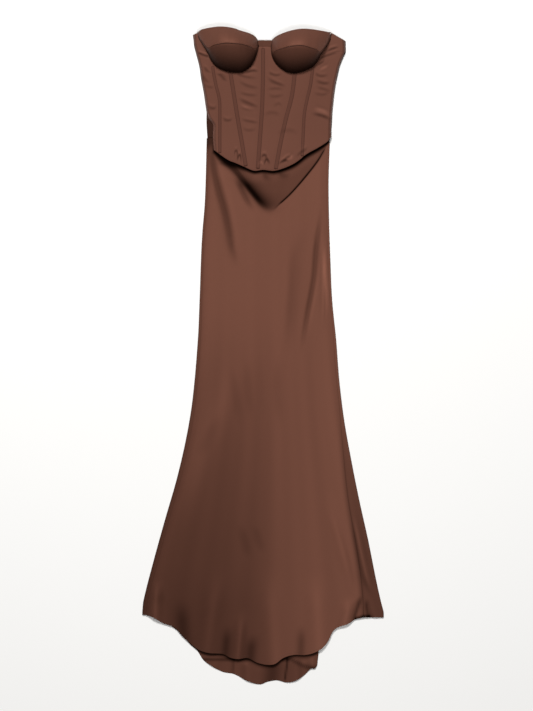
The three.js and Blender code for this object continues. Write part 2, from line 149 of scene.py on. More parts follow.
def rolled(places: Array, inset: float) -> Array:
    """The share of the full thickness at each place: a quarter circle that starts from nothing at 0 and 1."""
    near = np.minimum(np.minimum(places, 1 - places) / inset, 1)
    return np.sqrt(np.maximum(1 - (1 - near) ** 2, 0))


def unit(vectors: Array) -> Array:
    """The vectors scaled to length 1."""
    return vectors / np.maximum(np.linalg.norm(vectors, axis=-1, keepdims=True), 1e-12)


def normals(points: Array) -> Array:
    """Unit normals of a grid: the cross product of its differences along the rows and up the columns."""
    return unit(np.cross(np.gradient(points, axis=1), np.gradient(points, axis=0)))


@dataclass(frozen=True)
class Crease:
    """A soft ridge, or a trough where its rise is below 0, along a smooth line.

    Across the line it falls off as exp(-(distance / width)²), and it fades in and out over the given
    shares of its length. With a lean, the side towards +x (or +y, for a crease that runs across) is
    that share narrower and the other side that share wider.
    """

    points: tuple[Point, ...]
    rise: float
    width: float
    fade: Point = (0.4, 0.4)
    lean: float = 0.0

    def height(self, x: Array, y: Array) -> Array:
        """The crease's height over every point.

        Args:
            x: how far across, in mm.
            y: how far up, in mm.

        Returns:
            The height, in mm.
        """
        p = np.array(self.points, float)
        steep = int(abs(p[-1, 1] - p[0, 1]) > abs(p[-1, 0] - p[0, 0]))
        along, across = (y, x) if steep else (x, y)
        curve = through(p[np.argsort(p[:, steep])][:, [steep, 1 - steep]])
        t = (along - p[0, steep]) / (p[-1, steep] - p[0, steep])
        slope = (curve(along + 1) - curve(along - 1)) / 2
        aside = (across - curve(along)) / np.sqrt(1 + slope**2)
        width = self.width * np.where(aside > 0, 1 - self.lean, 1 + self.lean)
        ends = 1.0
        if self.fade[0]:
            ends = ends * ease(t / self.fade[0])
        if self.fade[1]:
            ends = ends * ease((1 - t) / self.fade[1])
        return self.rise * ends * np.exp(-((aside / width) ** 2))


def relief(creases: Sequence[Crease], x: Array, y: Array) -> Array:
    """The creases' heights added up."""
    return sum((crease.height(x, y) for crease in creases), np.zeros(np.broadcast(x, y).shape))


# The skirt's outline and hems, as rows of (up, across) and of (across, up).

FOLD_LEFT = through([
    (-577, -271), (-550, -268), (-460, -245), (-370, -220), (-280, -194), (-190, -173),
    (-100, -158), (35, -146), (125, -142), (260, -137), (350, -130), (489, -126),
])
FOLD_RIGHT = through([
    (-577, 271), (-550, 264), (-505, 254), (-415, 236), (-325, 216), (-235, 198), (-145, 182),
    (-55, 171), (35, 164), (125, 155), (215, 151), (305, 148), (395, 147), (489, 150),
])
SEAM_LEFT = through([
    (-582, -264), (-550, -260), (-460, -236), (-370, -212), (-280, -186), (-190, -166),
    (-100, -152), (35, -141), (125, -138), (260, -133), (350, -126.5), (489, -122.5),
])
SEAM_RIGHT = through([
    (-593, 227), (-528, 223), (-444, 212), (-318, 191), (-206, 180), (-123, 173), (-33, 164),
    (57, 158), (125, 151), (215, 147), (305, 144.5), (395, 143.5), (489, 146.5),
])
FRONT_HEM = through([
    (-271, -582), (-250, -588), (-225, -602), (-198, -613), (-180, -633), (-148, -660), (-124, -669),
    (-90, -672), (-74, -680), (-56, -683), (-34, -681), (-14, -691), (9, -696), (27, -694), (45, -681),
    (68, -674), (94, -674), (115, -669), (135, -657), (148, -640), (155, -624), (166, -613),
    (191, -604), (205, -595), (218, -591), (241, -588), (271, -590),
])
TRAIN_HEM = through([
    (-271, -579), (-225, -598), (-180, -630), (-165, -650), (-148, -665), (-135, -685), (-112, -701),
    (-90, -712), (-65, -717), (-36, -732), (-7, -740), (11, -734), (32, -731), (54, -736), (76, -731),
    (94, -719), (108, -705), (122, -699), (127, -660), (148, -636), (166, -609), (205, -591), (271, -587),
])
DRAPE_EDGE = through([
    (-126, 446), (-72, 426), (-27, 371), (2, 334), (20, 325), (36, 340), (61, 364), (89, 395),
    (123, 438), (142, 470), (150, 476),
])

# The bodice's outline as rows of (up, across), its hem as (across, up), and how high it stands.
BODICE_LEFT = through([
    (462, -110), (494, -112), (519, -112), (534, -122), (548, -127), (570, -130), (597, -134.5),
    (624, -139.5), (651, -143.5), (680, -151), (696, -155), (720, -157),
])
BODICE_RIGHT = through([
    (492, 153), (512, 153), (530, 154.5), (557, 157), (584, 160), (611, 164), (638, 170), (651, 173),
    (669, 180), (683, 186), (703, 185.5),
])
BODICE_HEM = through([
    (-110, 462), (-97, 452), (-76, 438), (-63, 433), (-40, 423), (-20, 415), (0, 417), (25, 415),
    (50, 422), (74, 434), (99, 453), (124, 467), (146, 482), (153, 492),
])
BODICE_STAND = through([(414, 17.5), (450, 16.5), (500, 14.5), (560, 14), (640, 14), (720, 13)])
BODICE_EDGE = through([(462, 9.5), (505, 8), (548, 2.45), (720, 2.45)])


def hem_end(x: float) -> Point:
    """The point of the bodice's hem at one place across."""
    return (x, float(BODICE_HEM(np.array(x))))


class Seam(Enum):
    """The bodice's long seams, from the cups down to the hem."""

    OUTER_LEFT = ((-111.5, 661), (-112.5, 645), (-106, 609), (-98, 575), (-97, 534), (-97, 496), hem_end(-97))
    DIAGONAL_LEFT = ((-74, 641), (-65, 584), (-56, 528), (-47, 476), hem_end(-38))
    CENTRE = ((0, 695), (0, 633), (-2, 559), (-7, 485), hem_end(-12))
    DIAGONAL_RIGHT = ((72, 639), (65, 584), (52, 534), (40, 480), hem_end(28))
    OUTER_RIGHT = ((113, 655), (107, 609), (99, 575), (93, 543), (91, 510), hem_end(88))


class Fold(Enum):
    """The skirt's creases that have both a height and a shade, each as points along it."""

    LEFT_OF_V = ((-61, 402), (-45, 366), (-20, 318))
    RIGHT_PULL = ((133, 345), (128, 300), (119, 235), (115, 179), (108, 136), (99, 87), (90, 28), (88, -17))
    INNER_PULL = ((97, 305), (74, 222), (70, 165), (63, 74), (56, -17))
    MIDDLE_FAR_LEFT = ((-74, -16), (-60, -90), (-52, -165))
    MIDDLE_LEFT = ((-36, 0), (-33, -80), (-30, -160))
    MIDDLE_RIGHT = ((31, 10), (33, -90), (40, -180))
    LEFT_HOLLOW = ((-97, -130), (-124, -190), (-148, -242))
    LOW_LEFT = ((-52, -377), (-40, -430), (-30, -466))
    LOW_MIDDLE = ((-22, -377), (-10, -420), (0, -454))
    RIGHT_CORNER = ((203, -354), (234, -494), (256, -545))
    HEM_NOTCH = ((220, -539), (212, -570), (205, -592))


@dataclass(frozen=True)
class SkirtForm:
    """The skirt as it lies: heights of the middle of its cloth over the surface, and the light and shade
    painted on its satin.

    A pair of numbers is a smooth step: where it starts and where it is full. A dim is the share of the
    satin's brightness that its painted shade takes off where its step is full.
    """

    floor: float = 0.6
    at_fold: float = 3.2
    upper: float = 4.8
    deepest: float = -2.4
    layer_gap: float = 1.4
    side_roll: float = 22.0
    past_front_hem: Point = (4.0, 18.0)

    drape_rise: float = 9.0
    soft_slope: float = 24.0
    crisp_slope: float = 3.5
    drape_turn: float = 45.0
    drape_left: Point = (-112.0, -52.0)
    drape_right: Point = (150.0, 120.0)
    drape_tip: Point = (318.0, 373.0)
    rightward: Point = (0.0, 60.0)
    lower_on_right: float = 0.45
    hem_presses: Point = (-30.0, 15.0)
    hem_pressure: float = 0.65

    # Painted light and shade: where each step that darkens or lightens the satin lies, and how strong it is.
    down_skirt: Point = (60.0, -500.0)
    leftward: Point = (130.0, -110.0)
    at_hem: Point = (-450.0, -580.0)
    low_left: Point = (150.0, -100.0)
    left_dim: float = 0.38
    right_gain: float = 0.03
    hem_dim: float = 0.08
    down_dim: float = 0.06
    low_left_dim: float = 0.15
    fold_dim: float = 0.3
    fold_reach: float = 8.0
    streaks: tuple[tuple[float, float, float], ...] = (
        (0.03, 3.4, 1.1), (0.026, 5.7, 0.4), (0.018, 11.0, 0.0),
    )
    streaks_grow: Point = (150.0, -150.0)
    streaks_above: float = 0.25
    past_seam: Point = (-14.0, 6.0)
    seam_dim: float = 0.36
    inside_v: Point = (316.0, 342.0)
    inside_dim: float = 0.36
    waist_high: Point = (452.0, 480.0)
    waist_left: Point = (-111.0, -114.0)
    waist_dim: float = 0.7
    shadow_starts: Point = (-116.0, -110.0)
    shadow_dim: float = 0.995
    ridge_gain: float = 0.03
    darkest: float = 0.02
    # Painted shade over the whole train, and the painted shadow by the front hem.
    train_painted_shade: float = 0.64
    train_shadow_dim: float = 0.93
    train_shadow_reach: float = 6.0
    train_darkest: float = 0.03
    folds: tuple[Crease, ...] = (
        Crease(((-117, 462), (-110, 417), (-99, 372), (-85, 323), (-76, 278), (-70, 240), (-56, 192)),
               -2.8, 8, (0.1, 0.5)),
        Crease(((-104, 440), (-84, 372), (-70, 323), (-56, 240), (-42, 180)), 1.6, 16, (0.2, 0.5)),
        Crease(Fold.RIGHT_PULL.value,
               -2.6, 5, (0.3, 0.4)),
        Crease(((142, 290), (140, 240), (139, 190), (136, 110), (132, 40)), 2.6, 7, (0.3, 0.4), 0.3),
        Crease(Fold.INNER_PULL.value, -1.6, 14),
        Crease(((66, 270), (52, 120), (36, -60)), 1.2, 16),
        Crease(Fold.LEFT_OF_V.value, -1.8, 7, (0.3, 0.5), -0.2),
        Crease(((-50, 398), (-34, 366), (-9, 316)), 1.0, 9, (0.3, 0.5)),
        Crease(((-61, 20), (-137, -212), (-203, -470)), 3.0, 40),
        Crease(((-20, 10), (-68, -200), (-110, -420)), -1.6, 30),
        Crease(((151, -300), (180, -430), (208, -540)), 3.0, 16),
        Crease(Fold.RIGHT_CORNER.value, 2.5, 9, (0.3, 0.3)),
        Crease(Fold.MIDDLE_FAR_LEFT.value, -0.7, 9),
        Crease(Fold.MIDDLE_LEFT.value, -0.7, 9),
        Crease(((-8, 10), (-6, -90), (-2, -170)), -0.6, 9),
        Crease(Fold.MIDDLE_RIGHT.value, -0.6, 9),
        Crease(Fold.LEFT_HOLLOW.value, -1.0, 14),
        Crease(Fold.LOW_LEFT.value, -0.9, 10),
        Crease(Fold.LOW_MIDDLE.value, -0.8, 9),
        Crease(((151, -318), (188, -430), (218, -543)), -1.6, 9, (0.3, 0.2)),
        Crease(Fold.HEM_NOTCH.value, -2.2, 6, (0.4, 0.0)),
        Crease(((232, -545), (236, -570), (244, -592)), -1.6, 5, (0.4, 0.0)),
        Crease(((-236, -500), (-242, -550), (-244, -600)), 6.0, 14, (0.5, 0.0)),
        Crease(((-96, -470), (-114, -565), (-128, -665)), 5.0, 22, (0.5, 0.0)),
        Crease(((-46, -570), (-52, -625), (-58, -690)), 5.0, 12, (0.5, 0.0)),
        Crease(((14, -470), (20, -570), (28, -700)), 4.5, 26, (0.5, 0.0)),
        Crease(((116, -480), (121, -560), (126, -660)), 4.0, 24, (0.5, 0.0)),
        Crease(((196, -540), (190, -575), (182, -610)), 3.5, 13, (0.5, 0.0)),
    )
    train_folds: tuple[Crease, ...] = (
        Crease(((-84, -630), (-100, -670), (-116, -705)), 2.6, 16, (0.3, 0.0)),
        Crease(((-36, -640), (-36, -690), (-36, -735)), 3.0, 15, (0.3, 0.0), -0.3),
        Crease(((72, -640), (74, -690), (76, -735)), 3.0, 16, (0.3, 0.0), 0.3),
        Crease(((104, -640), (108, -670), (112, -705)), 3.0, 10, (0.3, 0.0)),
    )
    # Painted shade along creases, in the V and under the bodice's hem; a rise below 0 is a painted highlight.
    shades: tuple[Crease, ...] = (
        Crease(((-84, 434), (-72, 424), (-28, 371), (0, 336), (22, 308)), 0.6, 10, (0.0, 0.4), -0.2),
        Crease(((-52, 408), (-22, 376), (6, 340), (24, 316)), 0.4, 18, (0.3, 0.35)),
        Crease(((142, 470), (123, 438), (89, 395), (61, 363), (36, 340)), 0.86, 2.2, (0.1, 0.05)),
        Crease(((2, 412), (6, 402), (12, 388)), 0.35, 7, (0.0, 0.6)),
        Crease(((30, 412), (46, 405), (66, 404)), 0.35, 7, (0.3, 0.6)),
        Crease(((-117, 480), (-110, 417), (-99, 372), (-85, 323), (-76, 278), (-70, 240), (-56, 192)),
               0.44, 8, (0.1, 0.25), 0.2),
        Crease(Fold.LEFT_OF_V.value, 0.34, 6, (0.3, 0.4)),
        Crease(((-52, 402), (-36, 366), (-11, 318)), -0.1, 5, (0.3, 0.4)),
        Crease(Fold.RIGHT_PULL.value,
               0.3, 5, (0.3, 0.4)),
        Crease(((126, 240), (122, 179), (116, 136), (107, 87), (98, 28)), -0.12, 5, (0.4, 0.4)),
        Crease(Fold.INNER_PULL.value, 0.12, 14),
        Crease(((139, 270), (139.5, 192), (142, 130), (140, 60)), -0.75, 4, (0.4, 0.5)),
        Crease(Fold.MIDDLE_FAR_LEFT.value, 0.1, 9),
        Crease(Fold.MIDDLE_LEFT.value, 0.08, 8),
        Crease(Fold.MIDDLE_RIGHT.value, 0.08, 10),
        Crease(((-61, 20), (-100, -130), (-137, -212), (-180, -400)), -0.12, 24),
        Crease(Fold.LEFT_HOLLOW.value, 0.1, 14),
        Crease(Fold.LOW_LEFT.value, 0.12, 9),
        Crease(Fold.LOW_MIDDLE.value, 0.1, 8),
        Crease(((173, -123), (180, -206), (191, -318), (212, -444), (223, -528), (226, -590)),
               0.22, 5, (0.3, 0.0), 0.3),
        Crease(Fold.RIGHT_CORNER.value, -0.22, 6, (0.3, 0.3)),
        Crease(((196, -354), (224, -494), (246, -550)), 0.25, 5, (0.3, 0.2)),
        Crease(((-184, -540), (-181, -600), (-176, -660)), 0.46, 17, (0.5, 0.0)),
        Crease(((-78, -600), (-82, -640), (-86, -690)), 0.5, 11, (0.5, 0.0)),
        Crease(((-20, -620), (-26, -655), (-30, -700)), 0.5, 13, (0.5, 0.0)),
        Crease(((86, -600), (86, -640), (84, -690)), 0.4, 10, (0.5, 0.0)),
        Crease(((-240, -540), (-238, -570), (-236, -600)), -0.2, 14, (0.5, 0.0)),
        Crease(Fold.HEM_NOTCH.value, 0.6, 4, (0.4, 0.0)),
        Crease(((232, -545), (234, -570), (240, -592)), 0.5, 4, (0.4, 0.0)),
        Crease(((204, -594), (228, -587), (252, -589)), 0.75, 4, (0.1, 0.3)),
    )
    # Painted shade in the train's valleys and under its flap; a rise below 0 is a painted highlight.
    train_shades: tuple[Crease, ...] = (
        Crease(((-66, -670), (-66, -700), (-70, -730)), 0.3, 4, (0.0, 0.0), 0.4),
        Crease(((22, -680), (22, -705), (18, -740)), 0.5, 20, (0.0, 0.0)),
        Crease(((55, -690), (52, -710), (49, -735)), 0.65, 2.5, (0.0, 0.2)),
        Crease(((63, -684), (94, -699), (118, -704)), 0.6, 4, (0.0, 0.0)),
        Crease(((80, -688), (100, -690), (120, -690)), -0.25, 6, (0.3, 0.0)),
    )
    back_folds: tuple[Crease, ...] = (
        Crease(((-90, 420), (-70, 300), (-64, 180)), 1.2, 9),
        Crease(((-30, 440), (-22, 330), (-26, 200)), 0.9, 11),
        Crease(((60, 400), (72, 260), (66, 120)), 1.1, 10),
        Crease(((20, 60), (28, -80), (24, -220)), 1.2, 12),
        Crease(((-60, 20), (-96, -140), (-130, -300)), 1.3, 14),
        Crease(((110, -120), (140, -280), (160, -420)), 1.2, 13),
        Crease(((-20, -300), (-30, -420), (-24, -560)), 1.0, 12),
        Crease(((70, -360), (84, -470), (96, -600)), 1.1, 11),
    )
    hem_shadow: Curve = field(default=through([
        (-112, 9), (-96, 17), (-74, 16), (-52, 11), (-20, 7.5), (40, 8.5), (80, 11), (125, 10), (150, 6),
    ]))

    def drape(self, x: Array, y: Array) -> Array:
        """How far into the draped V a point is, 0 outside and 1 on it: a smooth step centred on its edge."""
        slope = self.soft_slope + (self.crisp_slope - self.soft_slope) * ease(x / self.drape_turn)
        beside = between(x, *self.drape_left) * between(x, *self.drape_right)
        return beside * ease((y - DRAPE_EDGE(x)) / slope + 0.5)

    def top(self, x: Array, y: Array) -> Array:
        """Height of the upper layer, with its creases and the draped V. It is lower along both sides.

        Args:
            x: how far across, in mm.
            y: how far up, in mm.

        Returns:
            The height of the middle of the cloth, in mm.
        """
        inward = np.minimum(x - FOLD_LEFT(y), FOLD_RIGHT(y) - x)
        pressed = 1 - self.hem_pressure * between(y - BODICE_HEM(x), *self.hem_presses)
        rise = self.drape_rise * (1 - self.lower_on_right * between(x, *self.rightward))
        drape = rise * between(y, *self.drape_tip) * pressed * self.drape(x, y)
        raised = np.maximum(relief(self.folds, x, y) + drape, self.deepest)
        return self.at_fold + ease(inward / self.side_roll) * (self.upper - self.at_fold + raised)

    def lower(self, x: Array, y: Array) -> Array:
        """Height of the lower layer: low folds on the surface, and the train's waves past the front hem."""
        past = between(FRONT_HEM(x) - y, *self.past_front_hem)
        waves = past * np.maximum(relief(self.train_folds, x, y), 0)
        room = self.top(x, y) - self.floor - self.layer_gap
        folds = (1 - past) * np.clip(relief(self.back_folds, x, y), 0, room)
        return self.floor + waves + folds

    def tone(self, x: Array, y: Array) -> Array:
        """The light and shade painted on the upper layer's satin.

        Painted shade makes it darker towards the left of the hem, along the left fold, inside the V, at the
        left of the waist, under the bodice's hem, past the right seam and in the creases, and painted
        highlights make its ridges lighter. Three sines of the share across paint faint streaks of sheen that
        fan out towards the hem. The painted shadow under the bodice's hem falls off as
        exp(-(distance / reach)^4).

        Args:
            x: how far across, in mm.
            y: how far up, in mm.

        Returns:
            A factor on the cloth's colour and sheen: the painted light and shade.
        """
        down = between(y, *self.down_skirt)
        left = between(x, *self.leftward)
        turned = self.left_dim * left - self.right_gain
        low = self.hem_dim * between(y, *self.at_hem)
        lie = (1 - down * turned - low * left) * (1 - self.down_dim * down)
        lie = lie * (1 - self.low_left_dim * left * between(y, *self.low_left))
        lie = lie * (1 - self.fold_dim * np.exp(-(((x - FOLD_LEFT(y)) / self.fold_reach) ** 2)))
        share = (x - FOLD_LEFT(y)) / (FOLD_RIGHT(y) - FOLD_LEFT(y)) * 2 * np.pi
        waves = sum(amount * np.sin(turns * share + start) for amount, turns, start in self.streaks)
        streaks = 1 + waves * (self.streaks_above + (1 - self.streaks_above) * between(y, *self.streaks_grow))
        past_seam = 1 - self.seam_dim * down * between(x - SEAM_RIGHT(y), *self.past_seam)
        inside = 1 - self.inside_dim * self.drape(x, y) * between(y, *self.inside_v)
        at_waist = 1 - self.waist_dim * between(y, *self.waist_high) * between(x, *self.waist_left)
        below_hem = np.maximum(BODICE_HEM(x) - y, 0)
        shadow = self.shadow_dim * np.exp(-((below_hem / self.hem_shadow(x)) ** 4))
        shadow = shadow * between(x, *self.shadow_starts)
        shade = (1 - relief(self.shades, x, y)) * (1 + self.ridge_gain * relief(self.folds, x, y))
        return np.maximum(lie * past_seam * inside * at_waist * shade * streaks * (1 - shadow), self.darkest)

    def train_painted_light(self, x: Array, y: Array) -> Array:
        """Painted light and shade on the lower layer: a painted shadow by the front hem, shade in the
        valleys.
        """
        past = np.maximum(FRONT_HEM(x) - y, 0)
        shadow = self.train_shadow_dim * np.exp(-((past / self.train_shadow_reach) ** 2))
        lie = self.train_painted_shade * (1 - relief(self.train_shades, x, y))
        return np.maximum(lie * (1 - shadow), self.train_darkest)


@dataclass(frozen=True)
class BodiceForm:
    """The bodice's front as it lies over the back: heights of its wall's middle, and its painted light and
    shade.
    """

    wall: float = 2.0
    side_roll: float = 7.0
    seam_pull: float = 0.5
    seam_reach: float = 7.0
    crease_depth: float = 0.45
    trough_shade: float = 0.26
    lip: float = 0.35
    lip_above: float = 5.0
    # A painted highlight along the left edge below the waist.
    edge_gain: float = 0.35
    edge_reach: float = 3.5
    below_waist: Point = (556.0, 536.0)
    creases: tuple[Crease, ...] = (
        Crease(((116, 619), (135, 612), (154, 612)), -2.0, 4),
        Crease(((108, 545), (135, 538), (158, 528)), -2.6, 4),
        Crease(((112, 556), (135, 550), (156, 541)), 1.4, 4.5),
        Crease(((6, 625), (26, 614), (54, 604)), -2.0, 4),
        Crease(((6, 598), (30, 600), (50, 597)), -1.0, 3.4),
        Crease(((-58, 618), (-34, 606), (-6, 600)), -1.4, 4),
        Crease(((-58, 578), (-30, 566), (-6, 556)), -2.0, 4),
        Crease(((-56, 566), (-30, 554), (-6, 547)), 1.2, 4),
        Crease(((-54, 557), (-30, 552), (-6, 549)), -1.2, 3.4),
        Crease(((-52, 531), (-30, 526), (-6, 522)), -1.5, 3.4),
        Crease(((-94, 534), (-80, 528), (-66, 531)), -1.6, 4),
        Crease(((-126, 560), (-112, 555), (-102, 559)), -1.8, 4),
        Crease(((-66, 452), (-60, 460), (-54, 446)), -2.4, 3),
        Crease(((46, 438), (58, 445), (72, 446)), 2.0, 5.5),
        Crease(((42, 434), (54, 444), (66, 449)), -3.2, 3.4),
        Crease(((-6, 446), (4, 450), (14, 438)), -3.0, 3.4),
        Crease(((-14, 426), (-4, 434), (6, 424)), 1.2, 3.4),
        Crease(((120, 652), (132, 658), (141, 665)), -1.8, 3),
        Crease(((124, 640), (136, 646), (150, 652)), 1.2, 3.4),
        Crease(((-104, 640), (-92, 632), (-78, 622)), -1.0, 3.4),
        Crease(((-42, 634), (-24, 640), (-8, 638)), -3.4, 2.6),
        Crease(((-148, 681), (-136, 676), (-121, 671)), -3.0, 2.4, (0.3, 0.2)),
        Crease(((141, 682), (156, 689), (172, 693)), -2.4, 2.8),
        Crease(((128, 668), (150, 676), (176, 684)), -1.8, 3.4, (0.2, 0.5)),
        Crease(((-142, 640), (-130, 620), (-120, 606)), -1.4, 4),
        Crease(((-100, 634), (-90, 624), (-82, 612)), -1.8, 3.4, (0.1, 0.5)),
        Crease(((22, 560), (36, 566), (46, 560)), -0.8, 4),
        Crease(((30, 500), (60, 506), (84, 498)), -0.7, 6),
        Crease(((112, 590), (134, 586), (152, 590)), -1.1, 4),
        Crease(((116, 634), (130, 628), (150, 630)), -1.6, 3.4, (0.2, 0.5)),
        Crease(((118, 604), (138, 598), (156, 592)), -1.2, 4),
        Crease(((-132, 652), (-126, 640), (-118, 632)), -1.6, 3.4),
        Crease(((-136, 612), (-124, 604), (-106, 602)), -1.0, 4),
        Crease(((-60, 632), (-38, 626), (-8, 622)), -1.4, 3, (0.2, 0.5)),
        Crease(((-56, 592), (-34, 586), (-8, 584)), -1.3, 3.4),
        Crease(((-50, 512), (-34, 506), (-12, 508)), -0.9, 4),
        Crease(((12, 636), (28, 630), (44, 632)), -1.7, 3, (0.2, 0.4)),
        Crease(((8, 586), (26, 582), (50, 586)), -1.0, 4),
        Crease(((-2, 540), (20, 546), (44, 540)), -0.8, 5),
        Crease(((-60, 440), (-52, 450), (-46, 436)), -3.2, 3),
        Crease(((0, 428), (8, 440), (18, 430)), -3.0, 3),
        Crease(((34, 430), (48, 438), (60, 436)), -2.8, 3),
        Crease(((72, 446), (88, 458), (104, 466)), -1.4, 4),
    )

    def folded(self, x: Array, y: Array) -> Array:
        """The creases' heights, each trough with a lower ridge along its upper side."""
        return relief(self.creases, x, y) - self.lip * relief(self.creases, x, y - self.lip_above)

    def front(self, x: Array, y: Array) -> Array:
        """Height of the front wall: level in the middle, rolled down as a quarter sine at both sides.

        Args:
            x: how far across, in mm.
            y: how far up, in mm.

        Returns:
            The height of the middle of the wall, in mm.
        """
        inward = np.maximum(np.minimum(x - BODICE_LEFT(y), BODICE_RIGHT(y) - x), 0)
        roll = np.sin(np.pi / 2 * np.minimum(inward / self.side_roll, 1))
        edge = BODICE_EDGE(y)
        pull = sum(
            Crease(seam.value, -self.seam_pull, self.seam_reach, (0.0, 0.0)).height(x, y) for seam in Seam
        )
        return edge + roll * (BODICE_STAND(y) - edge + self.crease_depth * self.folded(x, y) + pull)

    def tone(self, x: Array, y: Array) -> Array:
        """Painted shade in troughs, and painted highlights on ridges and along the left edge below the waist.
        """
        at_edge = np.exp(-(((x - BODICE_LEFT(y)) / self.edge_reach) ** 2)) * between(y, *self.below_waist)
        return (1 + self.edge_gain * at_edge) * np.exp(self.trough_shade * self.folded(x, y))


# Finishes


def srgb(hex_colour: str) -> tuple[float, float, float, float]:
    """An sRGB hex colour as linear light: c / 12.92 in the darkest part, else ((c + 0.055) / 1.055)^2.4."""
    value = np.array([int(hex_colour[i : i + 2], 16) for i in (1, 3, 5)]) / 255
    linear = np.where(value <= 0.04045, value / 12.92, ((value + 0.055) / 1.055) ** 2.4)
    return (*linear.tolist(), 1.0)


def add_node(tree: bpy.types.NodeTree, kind: str, settings: dict | None = None,
             links: dict | None = None) -> bpy.types.Node:
    """Adds a node with its settings and links.

    Args:
        tree: the material's node tree.
        kind: Blender's name for the node.
        settings: properties of the node, or values of its inputs, by name.
        links: for each input's name, the output that feeds it.

    Returns:
        The node.
    """
    node = tree.nodes.new(kind)
    for name, value in (settings or {}).items():
        if isinstance(name, str) and hasattr(node, name):
            setattr(node, name, value)
        else:
            node.inputs[name].default_value = value
    for name, source in (links or {}).items():
        tree.links.new(source, node.inputs[name])
    return node


@dataclass(frozen=True)
class Satin:
    """Polyester satin: long face floats that lie side by side, so it has a soft sheen of its own colour.

    The eye sees a smooth cloth that is bright where it lies level and goes dark quickly where it turns
    away. Real threads are 0.12 mm apart; they are drawn wider, so that they show in a close view.
    """

    name: str
    colour: str
    roughness: float
    grain_degrees: float
    thread_mm: float = 0.7
    thread_depth_mm: float = 0.02
    slub_mm: float = 9.0
    mottle: float = 0.05
    sheen_level: float = 0.5
    sheen_tint: str = "#c4846e"

    def material(self) -> bpy.types.Material:
        """Builds the material once, and gives it back whenever it is asked for again."""
        known = bpy.data.materials.get(self.name)
        if known:
            return known
        made = bpy.data.materials.new(self.name)
        made.use_nodes = True
        tree = made.node_tree
        shader = tree.nodes["Principled BSDF"]
        shader.inputs["Specular Tint"].default_value = srgb(self.sheen_tint)
        cut = add_node(tree, "ShaderNodeUVMap", {"uv_map": "cut"})
        along_grain = add_node(
            tree, "ShaderNodeMapping", {"Rotation": (0, 0, np.radians(self.grain_degrees))},
            {"Vector": cut.outputs["UV"]},
        )
        # A wave repeats every 2π / (20 · scale) of its input, which is in metres.
        threads = add_node(
            tree, "ShaderNodeTexWave",
            {"Scale": 2 * np.pi / (20 * self.thread_mm * MM), "Distortion": 1.5, "Detail": 1.0},
            {"Vector": along_grain.outputs["Vector"]},
        )
        long_floats = add_node(
            tree, "ShaderNodeMapping", {"Scale": (1.0, 0.18, 1.0)}, {"Vector": along_grain.outputs["Vector"]}
        )
        slubs = add_node(
            tree, "ShaderNodeTexNoise", {"Scale": 1 / (self.slub_mm * MM), "Detail": 3.0},
            {"Vector": long_floats.outputs["Vector"]},
        )
        weave = add_node(
            tree, "ShaderNodeBump", {"Strength": 0.6, "Distance": self.thread_depth_mm * MM},
            {"Height": threads.outputs["Fac"]},
        )
        surface = add_node(
            tree, "ShaderNodeBump", {"Strength": 0.35, "Distance": 0.15 * MM},
            {"Height": slubs.outputs["Fac"], "Normal": weave.outputs["Normal"]},
        )
        # Painted light and shade comes in as a point attribute; the slubs' mottle is the cloth's own uneven
        # colour.
        tone = add_node(tree, "ShaderNodeAttribute", {"attribute_name": "tone"})
        uneven = add_node(
            tree, "ShaderNodeMapRange", {"To Min": 1 - self.mottle, "To Max": 1 + self.mottle},
            {"Value": slubs.outputs["Fac"]},
        )
        lie = add_node(
            tree, "ShaderNodeMath", {"operation": "MULTIPLY"},
            {0: tone.outputs["Fac"], 1: uneven.outputs["Result"]},
        )
        colour = add_node(
            tree, "ShaderNodeVectorMath", {"operation": "SCALE", 0: srgb(self.colour)[:3]},
            {"Scale": lie.outputs["Value"]},
        )
        gloss = add_node(
            tree, "ShaderNodeMapRange",
            {"To Min": self.roughness - 0.04, "To Max": self.roughness + 0.04},
            {"Value": slubs.outputs["Fac"]},
        )
        # The specular level follows the painted light and shade too, so that a fold painted dark doesn't
        # shine.
        sheen = add_node(
            tree, "ShaderNodeMath", {"operation": "MULTIPLY", 1: self.sheen_level}, {0: tone.outputs["Fac"]}
        )
        tree.links.new(sheen.outputs["Value"], shader.inputs["Specular IOR Level"])
        tree.links.new(colour.outputs["Vector"], shader.inputs["Base Color"])
        tree.links.new(gloss.outputs["Result"], shader.inputs["Roughness"])
        tree.links.new(surface.outputs["Normal"], shader.inputs["Normal"])
        return made


@dataclass(frozen=True)
class Thread:
    """Spun polyester sewing thread: matt, with a twist that shows as fine slanting bands."""

    name: str
    colour: str
    roughness: float = 0.7
    twist_mm: float = 0.5

    def material(self) -> bpy.types.Material:
        """Builds the material once, and gives it back whenever it is asked for again."""
        known = bpy.data.materials.get(self.name)
        if known:
            return known
        made = bpy.data.materials.new(self.name)
        made.use_nodes = True
        tree = made.node_tree
        shader = tree.nodes["Principled BSDF"]
        shader.inputs["Roughness"].default_value = self.roughness
        shader.inputs["Specular IOR Level"].default_value = 0.3
        place = add_node(tree, "ShaderNodeTexCoord")
        twist = add_node(
            tree, "ShaderNodeTexWave",
            {"bands_direction": "DIAGONAL", "Scale": 2 * np.pi / (20 * self.twist_mm * MM)},
            {"Vector": place.outputs["Object"]},
        )
        shade = add_node(
            tree, "ShaderNodeMapRange", {"To Min": 0.8, "To Max": 1.1}, {"Value": twist.outputs["Fac"]}
        )
        colour = add_node(
            tree, "ShaderNodeVectorMath", {"operation": "SCALE", 0: srgb(self.colour)[:3]},
            {"Scale": shade.outputs["Result"]},
        )
        tree.links.new(colour.outputs["Vector"], shader.inputs["Base Color"])
        return made


